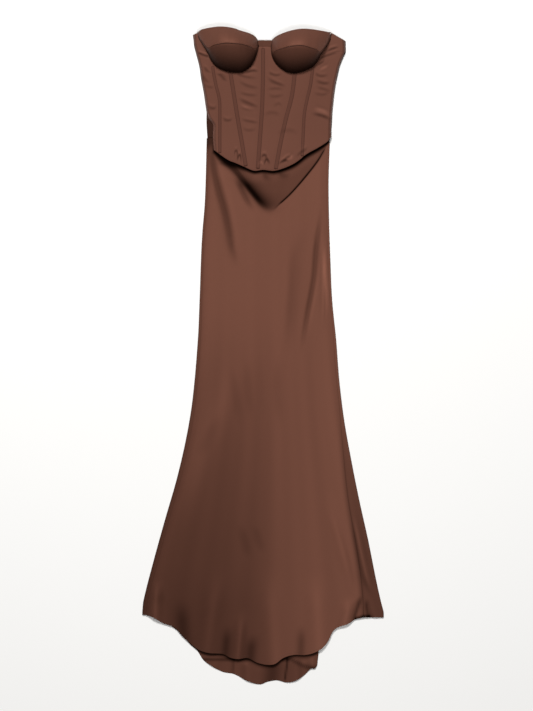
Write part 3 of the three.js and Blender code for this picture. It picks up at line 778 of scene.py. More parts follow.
# One satin throughout: the bodice, channel and cup copies are painted darker or lighter than the skirt's to
# stand for how the light falls on each part.
SKIRT_SATIN = Satin("satin_bias_cut", "#603d31", 0.5, 45.0)
BODICE_SATIN = Satin("satin_on_interlining", "#55362c", 0.52, 0.0)
CHANNEL_SATIN = Satin("satin_over_boning", "#472c24", 0.54, 90.0)
CUP_SATIN = Satin("satin_over_foam", "#5a392e", 0.52, 0.0)
SEWING_THREAD = Thread("polyester_thread", "#4c3028")
PALE_THREAD = Thread("undyed_basting_thread", "#c9c0b8")


class Slot(Enum):
    """The record's material slots."""

    SATIN = "satin"
    CHANNEL = "satin_channel"
    CUP = "satin_cup"


# Meshes


def quads(index: Array) -> Array:
    """The four corners of every cell of a grid of point numbers, going round anticlockwise."""
    return np.stack([index[:-1, :-1], index[:-1, 1:], index[1:, 1:], index[1:, :-1]], axis=-1).reshape(-1, 4)


def new_mesh(name: str, points: Array, faces: Array, finish: Satin | Thread,
             cut: Array | None = None, tone: Array | None = None) -> bpy.types.Object:
    """Makes a smooth mesh object at the origin, with its place in its mesh.

    Args:
        name: the piece's name.
        points: one (x, y, z) a row, in mm.
        faces: four point numbers a row.
        finish: what it is made of.
        cut: the (across, along) place of each point on the flat cloth, in mm, for the UV map.
        tone: painted light and shade at each point, a factor on the cloth's colour and sheen.

    Returns:
        The object.
    """
    mesh = bpy.data.meshes.new(name)
    mesh.from_pydata((points * MM).tolist(), [], faces.tolist())
    mesh.polygons.foreach_set("use_smooth", np.ones(len(mesh.polygons), bool))
    if cut is not None:
        corners = np.empty(len(mesh.loops), np.int32)
        mesh.loops.foreach_get("vertex_index", corners)
        mesh.uv_layers.new(name="cut").data.foreach_set("uv", (cut[corners] * MM).astype(np.float32).ravel())
    shade = np.ones(len(points)) if tone is None else tone
    mesh.attributes.new("tone", "FLOAT", "POINT").data.foreach_set("value", shade.astype(np.float32))
    mesh.materials.append(finish.material())
    mesh.update()
    made = bpy.data.objects.new(name, mesh)
    bpy.context.scene.collection.objects.link(made)
    return made


def flat_cut(points: Array) -> Array:
    """Where each grid point was on the flat cloth: its run along its row, and its row's run up the middle."""
    across = np.cumsum(np.linalg.norm(np.diff(points, axis=1, prepend=points[:, :1]), axis=-1), axis=1)
    across -= across[:, across.shape[1] // 2, None]
    up = np.cumsum(np.linalg.norm(np.diff(points, axis=0, prepend=points[:1]), axis=-1), axis=0)
    return np.stack([across, up], axis=-1)


def shell(name: str, points: Array, half: Array, finish: Satin,
          tone: Array | None = None) -> bpy.types.Object:
    """A closed shell of cloth on a grid of middle points.

    Each point goes out and in along the grid's normal by its half thickness. The half thickness is
    nothing all round the edge, where the two sides share their points.

    Args:
        name: the piece's name.
        points: rows and columns of (x, y, z), in mm, with x rising along a row and y up a column.
        half: the half thickness at each point, in mm.
        finish: what it is made of.
        tone: painted light and shade at each point, a factor on the cloth's colour and sheen.

    Returns:
        The object.
    """
    away = normals(points) * half[..., None]
    inside = np.zeros(half.shape, bool)
    inside[1:-1, 1:-1] = True
    outer = np.arange(half.size).reshape(half.shape)
    inner = outer.copy()
    inner[inside] = half.size + np.arange(inside.sum())
    middle = np.where(inside[..., None], away, 0)
    cut = flat_cut(points)
    shade = np.ones(half.shape) if tone is None else tone
    return new_mesh(
        name,
        np.concatenate([(points + middle).reshape(-1, 3), (points - middle)[inside]]),
        np.concatenate([quads(outer), quads(inner)[:, ::-1]]),
        finish,
        np.concatenate([cut.reshape(-1, 2), cut[inside]]),
        np.concatenate([shade.ravel(), shade[inside]]),
    )


@dataclass(frozen=True)
class Cut:
    """The flat size of a sheet of cloth, in metres and square metres, and how it is held."""

    width: float
    length: float
    area: float
    held: str = "laid"


def dress_piece(piece: bpy.types.Object, nodes: Sequence[str] = ()) -> None:
    """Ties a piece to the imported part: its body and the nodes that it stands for.

    Args:
        piece: the object.
        nodes: the CAD nodes that it replaces.
    """
    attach(piece, BODY)
    if nodes:
        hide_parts(*nodes)
    face_areas = np.empty(len(piece.data.polygons), np.float32)
    piece.data.polygons.foreach_get("area", face_areas)
    LOG.info("%s: %d faces, %.5f square metres a side", piece.name, len(face_areas), face_areas.sum() / 2)


def stitches(name: str, centres: Array, along: Array, up: Array | Sequence[float], length: float,
             thick: float, finish: Thread = SEWING_THREAD) -> bpy.types.Object:
    """Many short stitches in one mesh, each a closed lens of thread with six sides.

    Along a stitch the radius is thick / 2 times the sine of a half turn, and a quarter of it at the ends.

    Args:
        name: the piece's name.
        centres: the middle of each stitch, in mm.
        along: the direction of each stitch.
        up: the direction that each stitch stands towards, or one for them all.
        length: a stitch's length, in mm.
        thick: the thread's thickness, in mm.
        finish: the thread.

    Returns:
        The object.
    """
    sides, rings = 6, 5
    turn = np.arange(sides) * 2 * np.pi / sides
    reach = np.linspace(-0.5, 0.5, rings)
    radius = thick / 2 * np.maximum(np.cos(np.pi * reach), 0.25)
    template = np.stack(np.broadcast_arrays(
        (reach * length)[:, None], radius[:, None] * np.cos(turn), radius[:, None] * np.sin(turn)), axis=-1)
    aside = unit(np.cross(up, along))
    axes = np.stack([unit(along), aside, unit(np.cross(unit(along), aside))], axis=1)
    points = centres[:, None, None, :] + np.einsum("rsk,nkj->nrsj", template, axes)
    ring = np.arange(rings * sides).reshape(rings, sides)
    ring = np.concatenate([ring, ring[:, :1]], axis=1)
    tube = quads(ring)
    caps = np.array([[0, 5, 4, 3], [0, 3, 2, 1], [24, 25, 26, 27], [24, 27, 28, 29]])
    one = np.concatenate([tube, caps])
    faces = one[None] + (np.arange(len(centres)) * rings * sides)[:, None, None]
    return new_mesh(name, points.reshape(-1, 3), faces.reshape(-1, 4), finish)


# The dress


@dataclass
class Skirt:
    """The skirt: a bias-cut front over a back with a short train."""

    form: SkirtForm = field(default_factory=SkirtForm)
    wall: float = 1.2
    seam_lap: float = 0.5
    waist: float = 489.0
    straight_end: float = 250.0
    below_hems: float = -800.0
    top_level: float = 300.0
    crowding: float = 1.3
    hem_roll: float = 0.004
    side_roll: float = 0.006
    front_columns: int = 118
    front_rows: tuple[int, int, int] = (215, 38, 60)
    floor_columns: int = 136
    back_rows: tuple[int, int, int] = (150, 16, 24)
    hem_depth: float = 5.5
    hem_stitch_count: int = 190
    front_cut: Cut = Cut(0.49, 1.18, 0.395)
    back_cut: Cut = Cut(0.61, 1.23, 0.445)

    def row_places(self, low: int, middle: int, high: int) -> Array:
        """Places up the skirt: 0 at the hem, 1 where rows straighten, 2 at the V's edge, 3 at the waist."""
        hem = self.hem_roll * (1 - np.cos(np.linspace(0, np.pi / 2, 4)[:-1]))
        straight = np.linspace(self.hem_roll, 1, low)
        near_edge = 1 + np.linspace(0, 1, middle + 1)[1:] ** 0.6
        over_edge = 2 + np.linspace(0, 1, high + 1)[1:] ** 1.7 * 0.995
        return np.concatenate([hem, straight, near_edge, over_edge, [2.998, 3.0]])

    def rows(self, v: Array, x: Array, hem: Array) -> Array:
        """Heights up the skirt of rows that follow the hem at 0 and the draped V's edge at 2."""
        edge = DRAPE_EDGE(x)
        straight = hem + (self.straight_end - hem) * np.minimum(v, 1) ** self.crowding
        to_edge = np.clip(v - 1, 0, 1) * (edge - self.straight_end)
        return straight + to_edge + np.clip(v - 2, 0, 1) * (self.waist - edge)

    def across_top(self, u: Array) -> Array:
        """A place across the top of the skirt, from its left seam at 0 to its right seam at 1."""
        level = np.array(self.top_level)
        return SEAM_LEFT(level) + (SEAM_RIGHT(level) - SEAM_LEFT(level)) * u

    def build_front(self) -> bpy.types.Object:
        """The front panel: even columns between the two side seams, on the upper layer's heights."""
        u = edged(self.front_columns, self.side_roll)[None, :]
        v = self.row_places(*self.front_rows)[:, None]
        below = np.array(self.below_hems)
        hem_across = SEAM_LEFT(below) + (SEAM_RIGHT(below) - SEAM_LEFT(below)) * u
        y = self.rows(v, self.across_top(u), FRONT_HEM(hem_across))
        left = SEAM_LEFT(y) - self.seam_lap / 2
        x = left + (SEAM_RIGHT(y) + self.seam_lap / 2 - left) * u
        half = self.wall / 2 * np.minimum(rolled(u, self.side_roll), rolled(v / 3, self.hem_roll / 3))
        points = np.stack([x, y, self.form.top(x, y)], axis=-1)
        return shell("skirt_front_cloth", points, half, SKIRT_SATIN, self.form.tone(x, y))

    def build_back(self) -> bpy.types.Object:
        """The back panel: from the left seam round the left turn, along the surface and up to the right seam.

        Each turn is a half circle between the two layers.

        Returns:
            The object.
        """
        turn = (self.form.at_fold - self.form.floor) / 2
        v = self.row_places(*self.back_rows)[:, None]
        below = np.array(self.below_hems)
        hem_left, hem_right = FOLD_LEFT(below), FOLD_RIGHT(below)
        ends = [
            self.rows(v, self.across_top(np.array(side)), FRONT_HEM(seam(below)))
            for side, seam in ((0.0, SEAM_LEFT), (1.0, SEAM_RIGHT))
        ]
        left = FOLD_LEFT(ends[0]) + turn
        right = FOLD_RIGHT(ends[1]) - turn
        strip = np.concatenate([[0.0, 0.02, 0.08, 0.2], np.linspace(0.3, 1, 8)])[None, :]
        angle = np.linspace(0, np.pi, 9)[None, 1:-1]
        u = np.linspace(0, 1, self.floor_columns)[None, :]
        start_x = SEAM_LEFT(ends[0]) + self.seam_lap / 2
        top_left_x = start_x + (left - start_x) * strip
        top_left_y = np.broadcast_to(ends[0], top_left_x.shape)
        end_x = SEAM_RIGHT(ends[1]) - self.seam_lap / 2
        top_right_x = right + (end_x - right) * (1 - strip[:, ::-1])
        top_right_y = np.broadcast_to(ends[1], top_right_x.shape)
        floor_y = self.rows(v, self.across_top(u), TRAIN_HEM(hem_left + (hem_right - hem_left) * u))
        floor_left = FOLD_LEFT(floor_y) + turn
        floor_x = floor_left + (FOLD_RIGHT(floor_y) - turn - floor_left) * u
        turn_left = np.stack(np.broadcast_arrays(
            left - turn * np.sin(angle), ends[0], self.form.floor + turn * (1 + np.cos(angle))), axis=-1)
        turn_right = np.stack(np.broadcast_arrays(
            right + turn * np.sin(angle), ends[1], self.form.floor + turn * (1 - np.cos(angle))), axis=-1)
        points = np.concatenate([
            np.stack([top_left_x, top_left_y, self.form.top(top_left_x, top_left_y)], axis=-1),
            turn_left,
            np.stack([floor_x, floor_y, self.form.lower(floor_x, floor_y)], axis=-1),
            turn_right,
            np.stack([top_right_x, top_right_y, self.form.top(top_right_x, top_right_y)], axis=-1),
        ], axis=1)
        columns = np.linspace(0, 1, points.shape[1])[None, :]
        at_ends = rolled(columns, 2.5 / points.shape[1])
        half = self.wall / 2 * np.minimum(at_ends, rolled(v / 3, self.hem_roll / 3))
        column = np.arange(points.shape[1])[None, :]
        first = strip.shape[1] + angle.shape[1]
        on_floor = (column >= first) & (column < first + self.floor_columns)
        x, y = points[..., 0], points[..., 1]
        # Painted light and shade: the train's where the back lies on the surface, the upper layer's
        # elsewhere.
        tone = np.where(on_floor, self.form.train_painted_light(x, y), self.form.tone(x, y))
        return shell("skirt_back_cloth", points, half, SKIRT_SATIN, tone)

    def build_hem_stitches(self) -> bpy.types.Object:
        """The row of stitches along the front's narrow hem."""
        x = np.linspace(-258, 222, self.hem_stitch_count)
        y = FRONT_HEM(x) + self.hem_depth
        centres = np.stack([x, y, self.form.top(x, y) + self.wall / 2 + 0.05], axis=-1)
        along = np.gradient(centres, axis=0)
        return stitches("hem_stitches", centres, along, UPRIGHT, 2.0, 0.4)

    def dress(self) -> None:
        """Builds both panels and ties them to the part."""
        back = self.build_back()
        front = self.build_front()
        hem = self.build_hem_stitches()
        dress_piece(hem)
        dress_piece(back, ("skirt_back",))
        dress_piece(front, ("skirt_front",))


@dataclass(frozen=True)
class Panel:
    """One bodice panel: its top edge, the seams on its left and right, and where they meet the hem."""

    node: str
    top: tuple[Point, ...]
    left: tuple[Point, ...]
    right: tuple[Point, ...]
    hem: Point
    cut: Cut


def side_edge(outline: Curve, heights: Sequence[float]) -> tuple[Point, ...]:
    """Points down one side of the bodice, at the given heights."""
    return tuple((float(outline(np.array(y))), y) for y in heights)


@dataclass
class Bodice:
    """The bodice: six panels, two wings, the bridge, five boning channels and the plain back."""

    form: BodiceForm = field(default_factory=BodiceForm)
    seam_gap: float = 0.3
    seam_lap: float = 0.7
    channel_width: float = 9.0
    side_channel_width: float = 7.0
    channel_crown: float = 0.9
    back_wall: float = 1.4
    # Painted shade over the whole back, which lies in the bodice's shadow.
    back_tone: float = 0.32
    back_creases: tuple[Crease, ...] = (
        Crease(((-120, 560), (-80, 548), (-30, 552)), 0.9, 6),
        Crease(((-110, 620), (-70, 604), (-20, 610)), 0.8, 7),
        Crease(((-90, 520), (-50, 512), (-10, 518)), 0.7, 6),
        Crease(((20, 600), (70, 590), (130, 606)), 0.9, 7),
        Crease(((10, 545), (60, 532), (140, 540)), 0.8, 6),
        Crease(((40, 650), (90, 640), (150, 652)), 0.7, 8),
    )
    waist: float = 489.0
    stitch_length: float = 2.2
    stitch_pitch: float = 3.0
    panel_columns: int = 46
    panel_rows: int = 96
    side_inset: float = 0.02
    end_inset: float = 0.006
    channel_rows: int = 110
    channel_end: float = 0.985
    channel_edge_dim: float = 0.14
    stitch_inset: float = 0.9
    stitch_lift: float = 0.42
    thread: float = 0.45
    hem_stitch_count: int = 84
    hem_depth: float = 3.5
    hand_stitch_length: float = 2.0
    hand_stitch_lift: float = 0.08
    rungs: int = 9
    ladder: Point = (648.0, 674.0)
    ladder_reach: float = 9.5
    back_free_above: float = 548.0
    panels: tuple[Panel, ...] = (
        Panel("side_left", ((-149, 680), (-121, 677), (-116, 668), (-111.5, 661)),
              side_edge(BODICE_LEFT, (680, 640, 597, 560, 534, 519, 494, 462)), Seam.OUTER_LEFT.value,
              (-110, -97), Cut(0.052, 0.225, 0.007, "stretched")),
        Panel("side_front_left", ((-111.5, 661), (-103, 652), (-90, 645), (-74, 641)),
              Seam.OUTER_LEFT.value, Seam.DIAGONAL_LEFT.value, (-97, -38),
              Cut(0.06, 0.222, 0.0094, "stretched")),
        Panel("centre_front_left",
              ((-74, 641), (-60, 644), (-47, 651), (-35, 662), (-24, 678), (-15, 690), (-8, 695), (0, 695)),
              Seam.DIAGONAL_LEFT.value, Seam.CENTRE.value, (-38, -12), Cut(0.08, 0.28, 0.0138, "stretched")),
        Panel("centre_front_right",
              ((0, 695), (14, 695), (22, 690), (30, 678), (41, 662), (57, 646), (72, 641)),
              Seam.CENTRE.value, Seam.DIAGONAL_RIGHT.value, (-12, 28), Cut(0.08, 0.28, 0.0151, "stretched")),
        Panel("side_front_right", ((72, 639), (85, 640), (101, 645), (113, 655)),
              Seam.DIAGONAL_RIGHT.value, Seam.OUTER_RIGHT.value, (28, 88),
              Cut(0.06, 0.228, 0.0099, "stretched")),
        Panel("side_right", ((113, 655), (120, 663), (127, 677), (184, 684)), Seam.OUTER_RIGHT.value,
              side_edge(BODICE_RIGHT, (684, 651, 611, 570, 530, 512, 492)), (88, 153),
              Cut(0.08, 0.225, 0.0142, "stretched")),
    )

    def raise_points(self, x: Array, y: Array, lift: Array | float = 0.0) -> Array:
        """Points on the front wall's middle, moved out along its normal by a lift in mm."""
        points = np.stack(np.broadcast_arrays(x, y, self.form.front(x, y)), axis=-1)
        step = 0.4
        rise_x = (self.form.front(x + step, y) - self.form.front(x - step, y)) / (2 * step)
        rise_y = (self.form.front(x, y + step) - self.form.front(x, y - step)) / (2 * step)
        out = unit(np.stack(np.broadcast_arrays(-rise_x, -rise_y, 1.0), axis=-1))
        return points + out * np.broadcast_to(lift, points.shape[:-1])[..., None]

    def build_panel(self, panel: Panel) -> bpy.types.Object:
        """A panel whose points blend from its four edges: rows plus columns, less the corners' blend."""
        u = edged(self.panel_columns, self.side_inset)[None, :, None]
        v = edged(self.panel_rows, self.end_inset)[:, None, None]
        top_x = panel.top[0][0] + (panel.top[-1][0] - panel.top[0][0]) * u
        top = np.concatenate([top_x, through(panel.top)(top_x)], axis=-1)
        left = line(panel.left[::-1])(v[:, 0, 0])[:, None]
        right = line(panel.right[::-1])(v[:, 0, 0])[:, None]
        hem_x = panel.hem[0] + (panel.hem[1] - panel.hem[0]) * u
        hem = np.concatenate([hem_x, BODICE_HEM(hem_x)], axis=-1)
        low = (1 - u) * left[:1] + u * right[:1]
        high = (1 - u) * left[-1:] + u * right[-1:]
        blend = (1 - v) * hem + v * top + (1 - u) * left + u * right - (1 - v) * low - v * high
        x = blend[..., 0] - self.seam_lap * (0.5 - u[..., 0])
        points = self.raise_points(x, blend[..., 1])
        rolls = np.minimum(rolled(u[..., 0], self.side_inset), rolled(v[..., 0], self.end_inset))
        half = self.form.wall / 2 * rolls
        return shell(f"{panel.node}_cloth", points, half, BODICE_SATIN, self.form.tone(x, blend[..., 1]))

    def build_patch(self, name: str, corners: tuple[Point, Point, Point, Point], columns: int,
                    rows: int, shade: float = 1.0) -> bpy.types.Object:
        """A small four-sided piece, straight between its corners, the two low ones first, left to right."""
        inset = 0.05
        u = edged(columns, inset)[None, :, None]
        v = edged(rows, inset)[:, None, None]
        p = np.array(corners, float)
        place = (1 - v) * ((1 - u) * p[0] + u * p[1]) + v * ((1 - u) * p[2] + u * p[3])
        points = self.raise_points(place[..., 0], place[..., 1])
        half = self.form.wall / 2 * np.minimum(rolled(u[..., 0], inset), rolled(v[..., 0], inset))
        return shell(name, points, half, BODICE_SATIN, shade * self.form.tone(place[..., 0], place[..., 1]))

    def channel_places(self, seam: Seam, start: float, end: float, count: int) -> tuple[Array, Array]:
        """Points down a seam, and the direction across it at each."""
        route = line(seam.value)
        t = np.linspace(start, end, count)
        ahead = unit(route(t + 0.01) - route(t - 0.01))
        return route(t), np.stack([-ahead[:, 1], ahead[:, 0]], axis=-1)

    def build_channel(self, name: str, seam: Seam, start: float, width: float) -> bpy.types.Object:
        """A boning channel: a strip down the seam whose thickness is crowned over the bone inside."""
        spot, across = self.channel_places(seam, self.channel_end, start, self.channel_rows)
        side = np.sin(np.linspace(-np.pi / 2, np.pi / 2, 15))[None, :]
        x = spot[:, :1] - across[:, :1] * side * width / 2
        y = spot[:, 1:] - across[:, 1:] * side * width / 2
        if x[0, 0] > x[0, -1]:
            x, y = x[:, ::-1], y[:, ::-1]
        thick = self.channel_crown / 2 * np.sqrt(np.maximum(1 - side**4, 0))
        thick = thick * rolled(np.linspace(0, 1, self.channel_rows), 0.01)[:, None]
        points = self.raise_points(x, y, self.form.wall / 2 - 0.2 + thick)
        # Painted shade along both edges of the channel, over the bodice's painted light and shade.
        tone = np.broadcast_to(1 - self.channel_edge_dim * side**6, thick.shape) * self.form.tone(x, y)
        return shell(name, points, thick, CHANNEL_SATIN, tone)

    def build_back(self, side: int) -> bpy.types.Object:
        """Half of the plain back, flat on the surface from the centre back seam to the side."""
        name = "left" if side < 0 else "right"
        outline = BODICE_LEFT if side < 0 else BODICE_RIGHT
        top = through([(-157, 716), (-80, 690), (0, 676), (80, 680), (186, 697)])
        low = through([(489, -125 if side < 0 else 152), (520, -127 if side < 0 else 155),
                       (self.back_free_above, float(outline(np.array(self.back_free_above))))])
        u = edged(40, 0.03)[None, :]
        v = edged(64, 0.02)[:, None]
        if side < 0:
            u = 1 - u[:, ::-1]
        across = np.abs(u if side > 0 else 1 - u)
        far = -157.0 if side < 0 else 186.0
        floor = self.waist + self.seam_gap
        y = floor + (top(far * across) - floor) * v
        edge = np.where(y < self.back_free_above, low(y), outline(y))
        seam = side * self.seam_gap / 2
        x = seam + (edge - seam) * across
        rise = np.clip(relief(self.back_creases, x, y), 0, 0.9)
        points = np.stack(np.broadcast_arrays(x, y, self.back_wall / 2 + rise), axis=-1)
        half = self.back_wall / 2 * np.minimum(rolled(u, 0.03), rolled(v, 0.02))
        # The back is painted dark all over: painted shade under the front bodice.
        tone = np.full(points.shape[:2], self.back_tone)
        return shell(f"back_{name}_cloth", points, half, BODICE_SATIN, tone)

    def build_channel_stitches(self) -> bpy.types.Object:
        """Two rows of stitches down each channel, just inside its edges."""
        centres, along = [], []
        for seam, start, width, _ in self.channels().values():
            route = line(seam.value)
            length = float(np.linalg.norm(np.diff(route(np.linspace(0, 1, 200)), axis=0), axis=1).sum())
            count = int(length * (0.97 - start) / self.stitch_pitch)
            spot, across = self.channel_places(seam, start + 0.01, 0.97, count)
            for side in (-1, 1):
                place = spot + across * side * (width / 2 - self.stitch_inset)
                lift = self.form.wall / 2 + self.stitch_lift
                centres.append(self.raise_points(place[:, 0], place[:, 1], lift))
                along.append(np.gradient(centres[-1], axis=0))
        run = np.concatenate(along)
        spots = np.concatenate(centres)
        return stitches("channel_stitches", spots, run, UPRIGHT, self.stitch_length, self.thread)

    def build_hand_stitches(self) -> bpy.types.Object:
        """The row along the hem, and the two ladders of short stitches at the top of the centre front."""
        hem_x = np.linspace(-95, 148, self.hem_stitch_count)
        hem = np.stack([hem_x, BODICE_HEM(hem_x) + self.hem_depth], axis=-1)
        rung = np.linspace(*self.ladder, self.rungs)
        reach = np.full(self.rungs, self.ladder_reach)
        ladders = [np.stack([side * reach, rung], axis=-1) for side in (-1, 1)]
        place = np.concatenate([hem, *ladders])
        centres = self.raise_points(place[:, 0], place[:, 1], self.form.wall / 2 + self.hand_stitch_lift)
        along_hem = np.gradient(centres[: self.hem_stitch_count], axis=0)
        along = np.concatenate([along_hem, np.tile([1.0, 0.0, 0.0], (2 * self.rungs, 1))])
        return stitches("bodice_stitches", centres, along, UPRIGHT, self.hand_stitch_length, self.thread)

    def channels(self) -> dict[str, tuple[Seam, float, float, Cut]]:
        """For each channel's node: its seam, the share of the seam where it starts, its width and its cut."""
        narrow, wide = self.side_channel_width, self.channel_width
        return {
            "channel_outer_left": (Seam.OUTER_LEFT, 0.05, narrow, Cut(0.01, 0.197, 0.00145, "stretched")),
            "channel_diagonal_left": (Seam.DIAGONAL_LEFT, 0.015, wide, Cut(0.01, 0.215, 0.002, "stretched")),
            "channel_centre": (Seam.CENTRE, 0.015, wide, Cut(0.01, 0.272, 0.0025, "stretched")),
            "channel_diagonal_right": (Seam.DIAGONAL_RIGHT, 0.015, wide,
                                       Cut(0.01, 0.222, 0.00205, "stretched")),
            "channel_outer_right": (Seam.OUTER_RIGHT, 0.015, narrow, Cut(0.01, 0.206, 0.0015, "stretched")),
        }

    def dress(self) -> None:
        """Builds every piece of the bodice and ties it to the part."""
        for side, cut in ((-1, Cut(0.162, 0.23, 0.0275)), (1, Cut(0.19, 0.212, 0.0317))):
            back = self.build_back(side)
            node = back.name.removesuffix("_cloth")
            dress_piece(back, (node,))
        for panel in self.panels:
            dress_piece(self.build_panel(panel), (panel.node,))
        wings = {
            "left": (((-150, 679.3), (-122, 673.3), (-158, 721), (-144, 727)),
                     Cut(0.035, 0.055, 0.0013, "stretched")),
            "right": (((132, 677), (186, 683.2), (150, 728), (186, 707)),
                      Cut(0.06, 0.055, 0.002, "stretched")),
        }
        for side, (corners, cut) in wings.items():
            wing = self.build_patch(f"wing_{side}_cloth", corners, 24, 24)
            dress_piece(wing, (f"wing_{side}",))
        corners = ((-13, 694.3), (23, 693.4), (-13, 709), (23, 709))
        # The bridge is painted darker: painted shade between the cups.
        bridge = self.build_patch("bridge_cloth", corners, 20, 10, shade=0.7)
        dress_piece(bridge, ("bridge",))
        for node, (seam, start, width, cut) in self.channels().items():
            strip = self.build_channel(f"{node}_strip", seam, start, width)
            dress_piece(strip, (node,))
        dress_piece(self.build_channel_stitches())
        dress_piece(self.build_hand_stitches())


@dataclass
class Cups:
    """The two underwired cups: each a lower and an upper piece of satin over moulded foam."""

    bodice: Bodice
    wall: float = 2.6
    depth: float = 46.0
    top_edge: float = 27.0
    seam_angle: float = np.radians(68)
    seat: float = 0.6
    seam_power: float = 0.8
    top_power: float = 0.7
    over_power: float = 1.6
    # Painted shade on the lower pieces, a painted shadow at the wire, and painted shade at the ends.
    wire_painted_shade: float = 0.09
    painted_shade_gain: float = 0.51
    painted_shade_power: float = 1.6
    wire_shadow: float = 0.3
    wire_shadow_reach: float = 0.12
    end_reach: float = 0.05
    lower_end_dim: float = 0.65
    upper_end_dim: float = 0.4
    left: tuple[tuple[float, ...], ...] = (
        (-146, 719, -146, 721, -148, 727), (-136, 701, -135, 705, -137, 733),
        (-125, 684, -123, 691, -124, 736), (-116, 664, -111, 696, -110, 738),
        (-103, 649, -98, 699, -97, 739), (-84, 640, -82, 701, -81, 738),
        (-66, 637, -66, 700, -65, 735), (-48, 637, -51, 699, -51, 730), (-33, 646, -37, 696, -37, 726),
        (-21, 662, -26, 692, -26, 722), (-14, 682, -17, 688, -18, 717), (-10, 699, -12, 701, -12, 709),
    )
    right: tuple[tuple[float, ...], ...] = (
        (19, 699, 20, 701, 21, 710), (20, 678, 22, 682, 28, 716), (26, 662, 30, 685, 37, 721),
        (38, 648, 43, 689, 50, 726), (56, 637, 58, 693, 63, 730), (75, 636, 74, 695, 78, 733),
        (93, 640, 91, 695, 93, 734), (110, 649, 106, 691, 109, 733), (122, 662, 119, 687, 124, 731),
        (130, 678, 128, 682, 137, 729), (142, 695, 140, 697, 147, 727), (152, 713, 151, 715, 153, 726),
    )

    def form(self, table: Sequence[Sequence[float]], s: Array, t: Array) -> Array:
        """Points of a cup's middle surface.

        Across the cup, its fullness is sin(pi s). Up the lower piece the line is an arc that leaves the
        wire upright: its run goes as 1 - cos and its climb as sin of the angle. Up the upper piece it
        closes over, its drop going as the 1.6 power.

        Args:
            table: rows of the wire's, the seam's and the top edge's (x, y).
            s: places across the cup, 0 to 1.
            t: places up the cup: 0 at the wire, 1 at the seam, 2 at the top edge.

        Returns:
            Rows up the cup of points across it, in mm.
        """
        rows = np.array(table, float)
        share = np.linspace(0, 1, len(rows))
        wire_x, wire_y, seam_x, seam_y, top_x, top_y = (
            through(np.stack([share, rows[:, k]], axis=-1))(s)[None, :] for k in range(6)
        )
        full = np.sin(np.pi * s)[None, :]
        panel = self.bodice.form.front(wire_x, wire_y) + self.bodice.form.wall / 2
        seat = panel + self.seat + self.wall / 2 * (1 - full)
        seam_z = seat + self.depth * full**self.seam_power
        top_z = seat + self.top_edge * full**self.top_power
        angle = np.minimum(t, 1)[:, None] * self.seam_angle
        run = (1 - np.cos(angle)) / (1 - np.cos(self.seam_angle))
        climb = np.sin(angle) / np.sin(self.seam_angle)
        over = np.clip(t - 1, 0, 1)[:, None]
        return np.stack([
            wire_x + (seam_x - wire_x) * run + (top_x - seam_x) * over,
            wire_y + (seam_y - wire_y) * run + (top_y - seam_y) * over,
            seat + (seam_z - seat) * climb + (top_z - seam_z) * over**self.over_power,
        ], axis=-1)

    def build(self, name: str, table: Sequence[Sequence[float]], low: float, high: float,
              rows: int) -> bpy.types.Object:
        """One piece of a cup between two places up it, with its edges rolled in."""
        inset = 0.02
        edge = 0.05
        s = edged(80, inset)
        t = low + (high - low) * edged(rows, edge)
        points = self.form(table, s, t)
        half = self.wall / 2 * np.minimum(
            rolled(s, inset)[None, :], rolled((t - low) / (high - low), edge)[:, None])
        return shell(name, points, half, CUP_SATIN, self.tone(s, t))

    def tone(self, s: Array, t: Array) -> Array:
        """Painted shade, deeper as the lower piece turns to its wire, with a shadow there, and at the ends.
        """
        at_wire = self.wire_shadow + (1 - self.wire_shadow) * ease(t / self.wire_shadow_reach)
        lower = (self.wire_painted_shade + self.painted_shade_gain * ease(t) ** self.painted_shade_power) * at_wire
        near_end = ease(np.minimum(s, 1 - s) / self.end_reach)[None, :]
        turned = np.where(t < 1, self.lower_end_dim, self.upper_end_dim)[:, None]
        return np.where(t < 1, lower, 1.0)[:, None] * (1 - turned * (1 - near_end))

    def over_cup(self, table: Sequence[Sequence[float]], s: Array, t: float,
                 lift: float) -> tuple[Array, Array, Array]:
        """Points over a cup's outside at one place up it, in a row across it.

        Args:
            table: rows of the wire's, the seam's and the top edge's (x, y).
            s: places across the cup, in rising order.
            t: the place up the cup.
            lift: how far off the satin the points are, in mm.

        Returns:
            The points, the direction along the row at each, and the way out of the cup.
        """
        spot = self.form(table, s, np.array([t]))[0]
        ahead = np.gradient(spot, axis=0)
        climb = self.form(table, s, np.array([t + 0.02]))[0] - self.form(table, s, np.array([t - 0.02]))[0]
        out = unit(np.cross(ahead, climb))
        return spot + out * (self.wall / 2 + lift), ahead, out

    def rows_of_stitches(self) -> bpy.types.Object:
        """Topstitching on both sides of each cup's seam and along its top edge."""
        s = np.linspace(0.06, 0.94, 40)
        places = (0.92, 1.09, 1.92)
        rows = [self.over_cup(table, s, t, 0.08) for table in (self.left, self.right) for t in places]
        centres, along, up = (np.concatenate(part) for part in zip(*rows))
        return stitches("cup_stitches", centres, along, up, 2.0, 0.4)

    def build_tacks(self) -> bpy.types.Object:
        """The loose pale tacks at the outer end of each cup: slanting stitches that lie along its surface."""
        slants = np.array([(2.0, 1.0, 0.0), (1.0, -2.0, 0.0), (2.0, 2.0, 0.0)])
        ends = ((self.left, np.array([0.015, 0.03, 0.045])), (self.right, np.array([0.955, 0.97, 0.985])))
        rows = [self.over_cup(table, s, 1.9, 0.5) for table, s in ends]
        centres, _, up = (np.concatenate(part) for part in zip(*rows))
        along = np.tile(slants, (2, 1))
        along = along - up * (along * up).sum(axis=1, keepdims=True)
        return stitches("tacks", centres, along, up, 5.0, 1.2, PALE_THREAD)

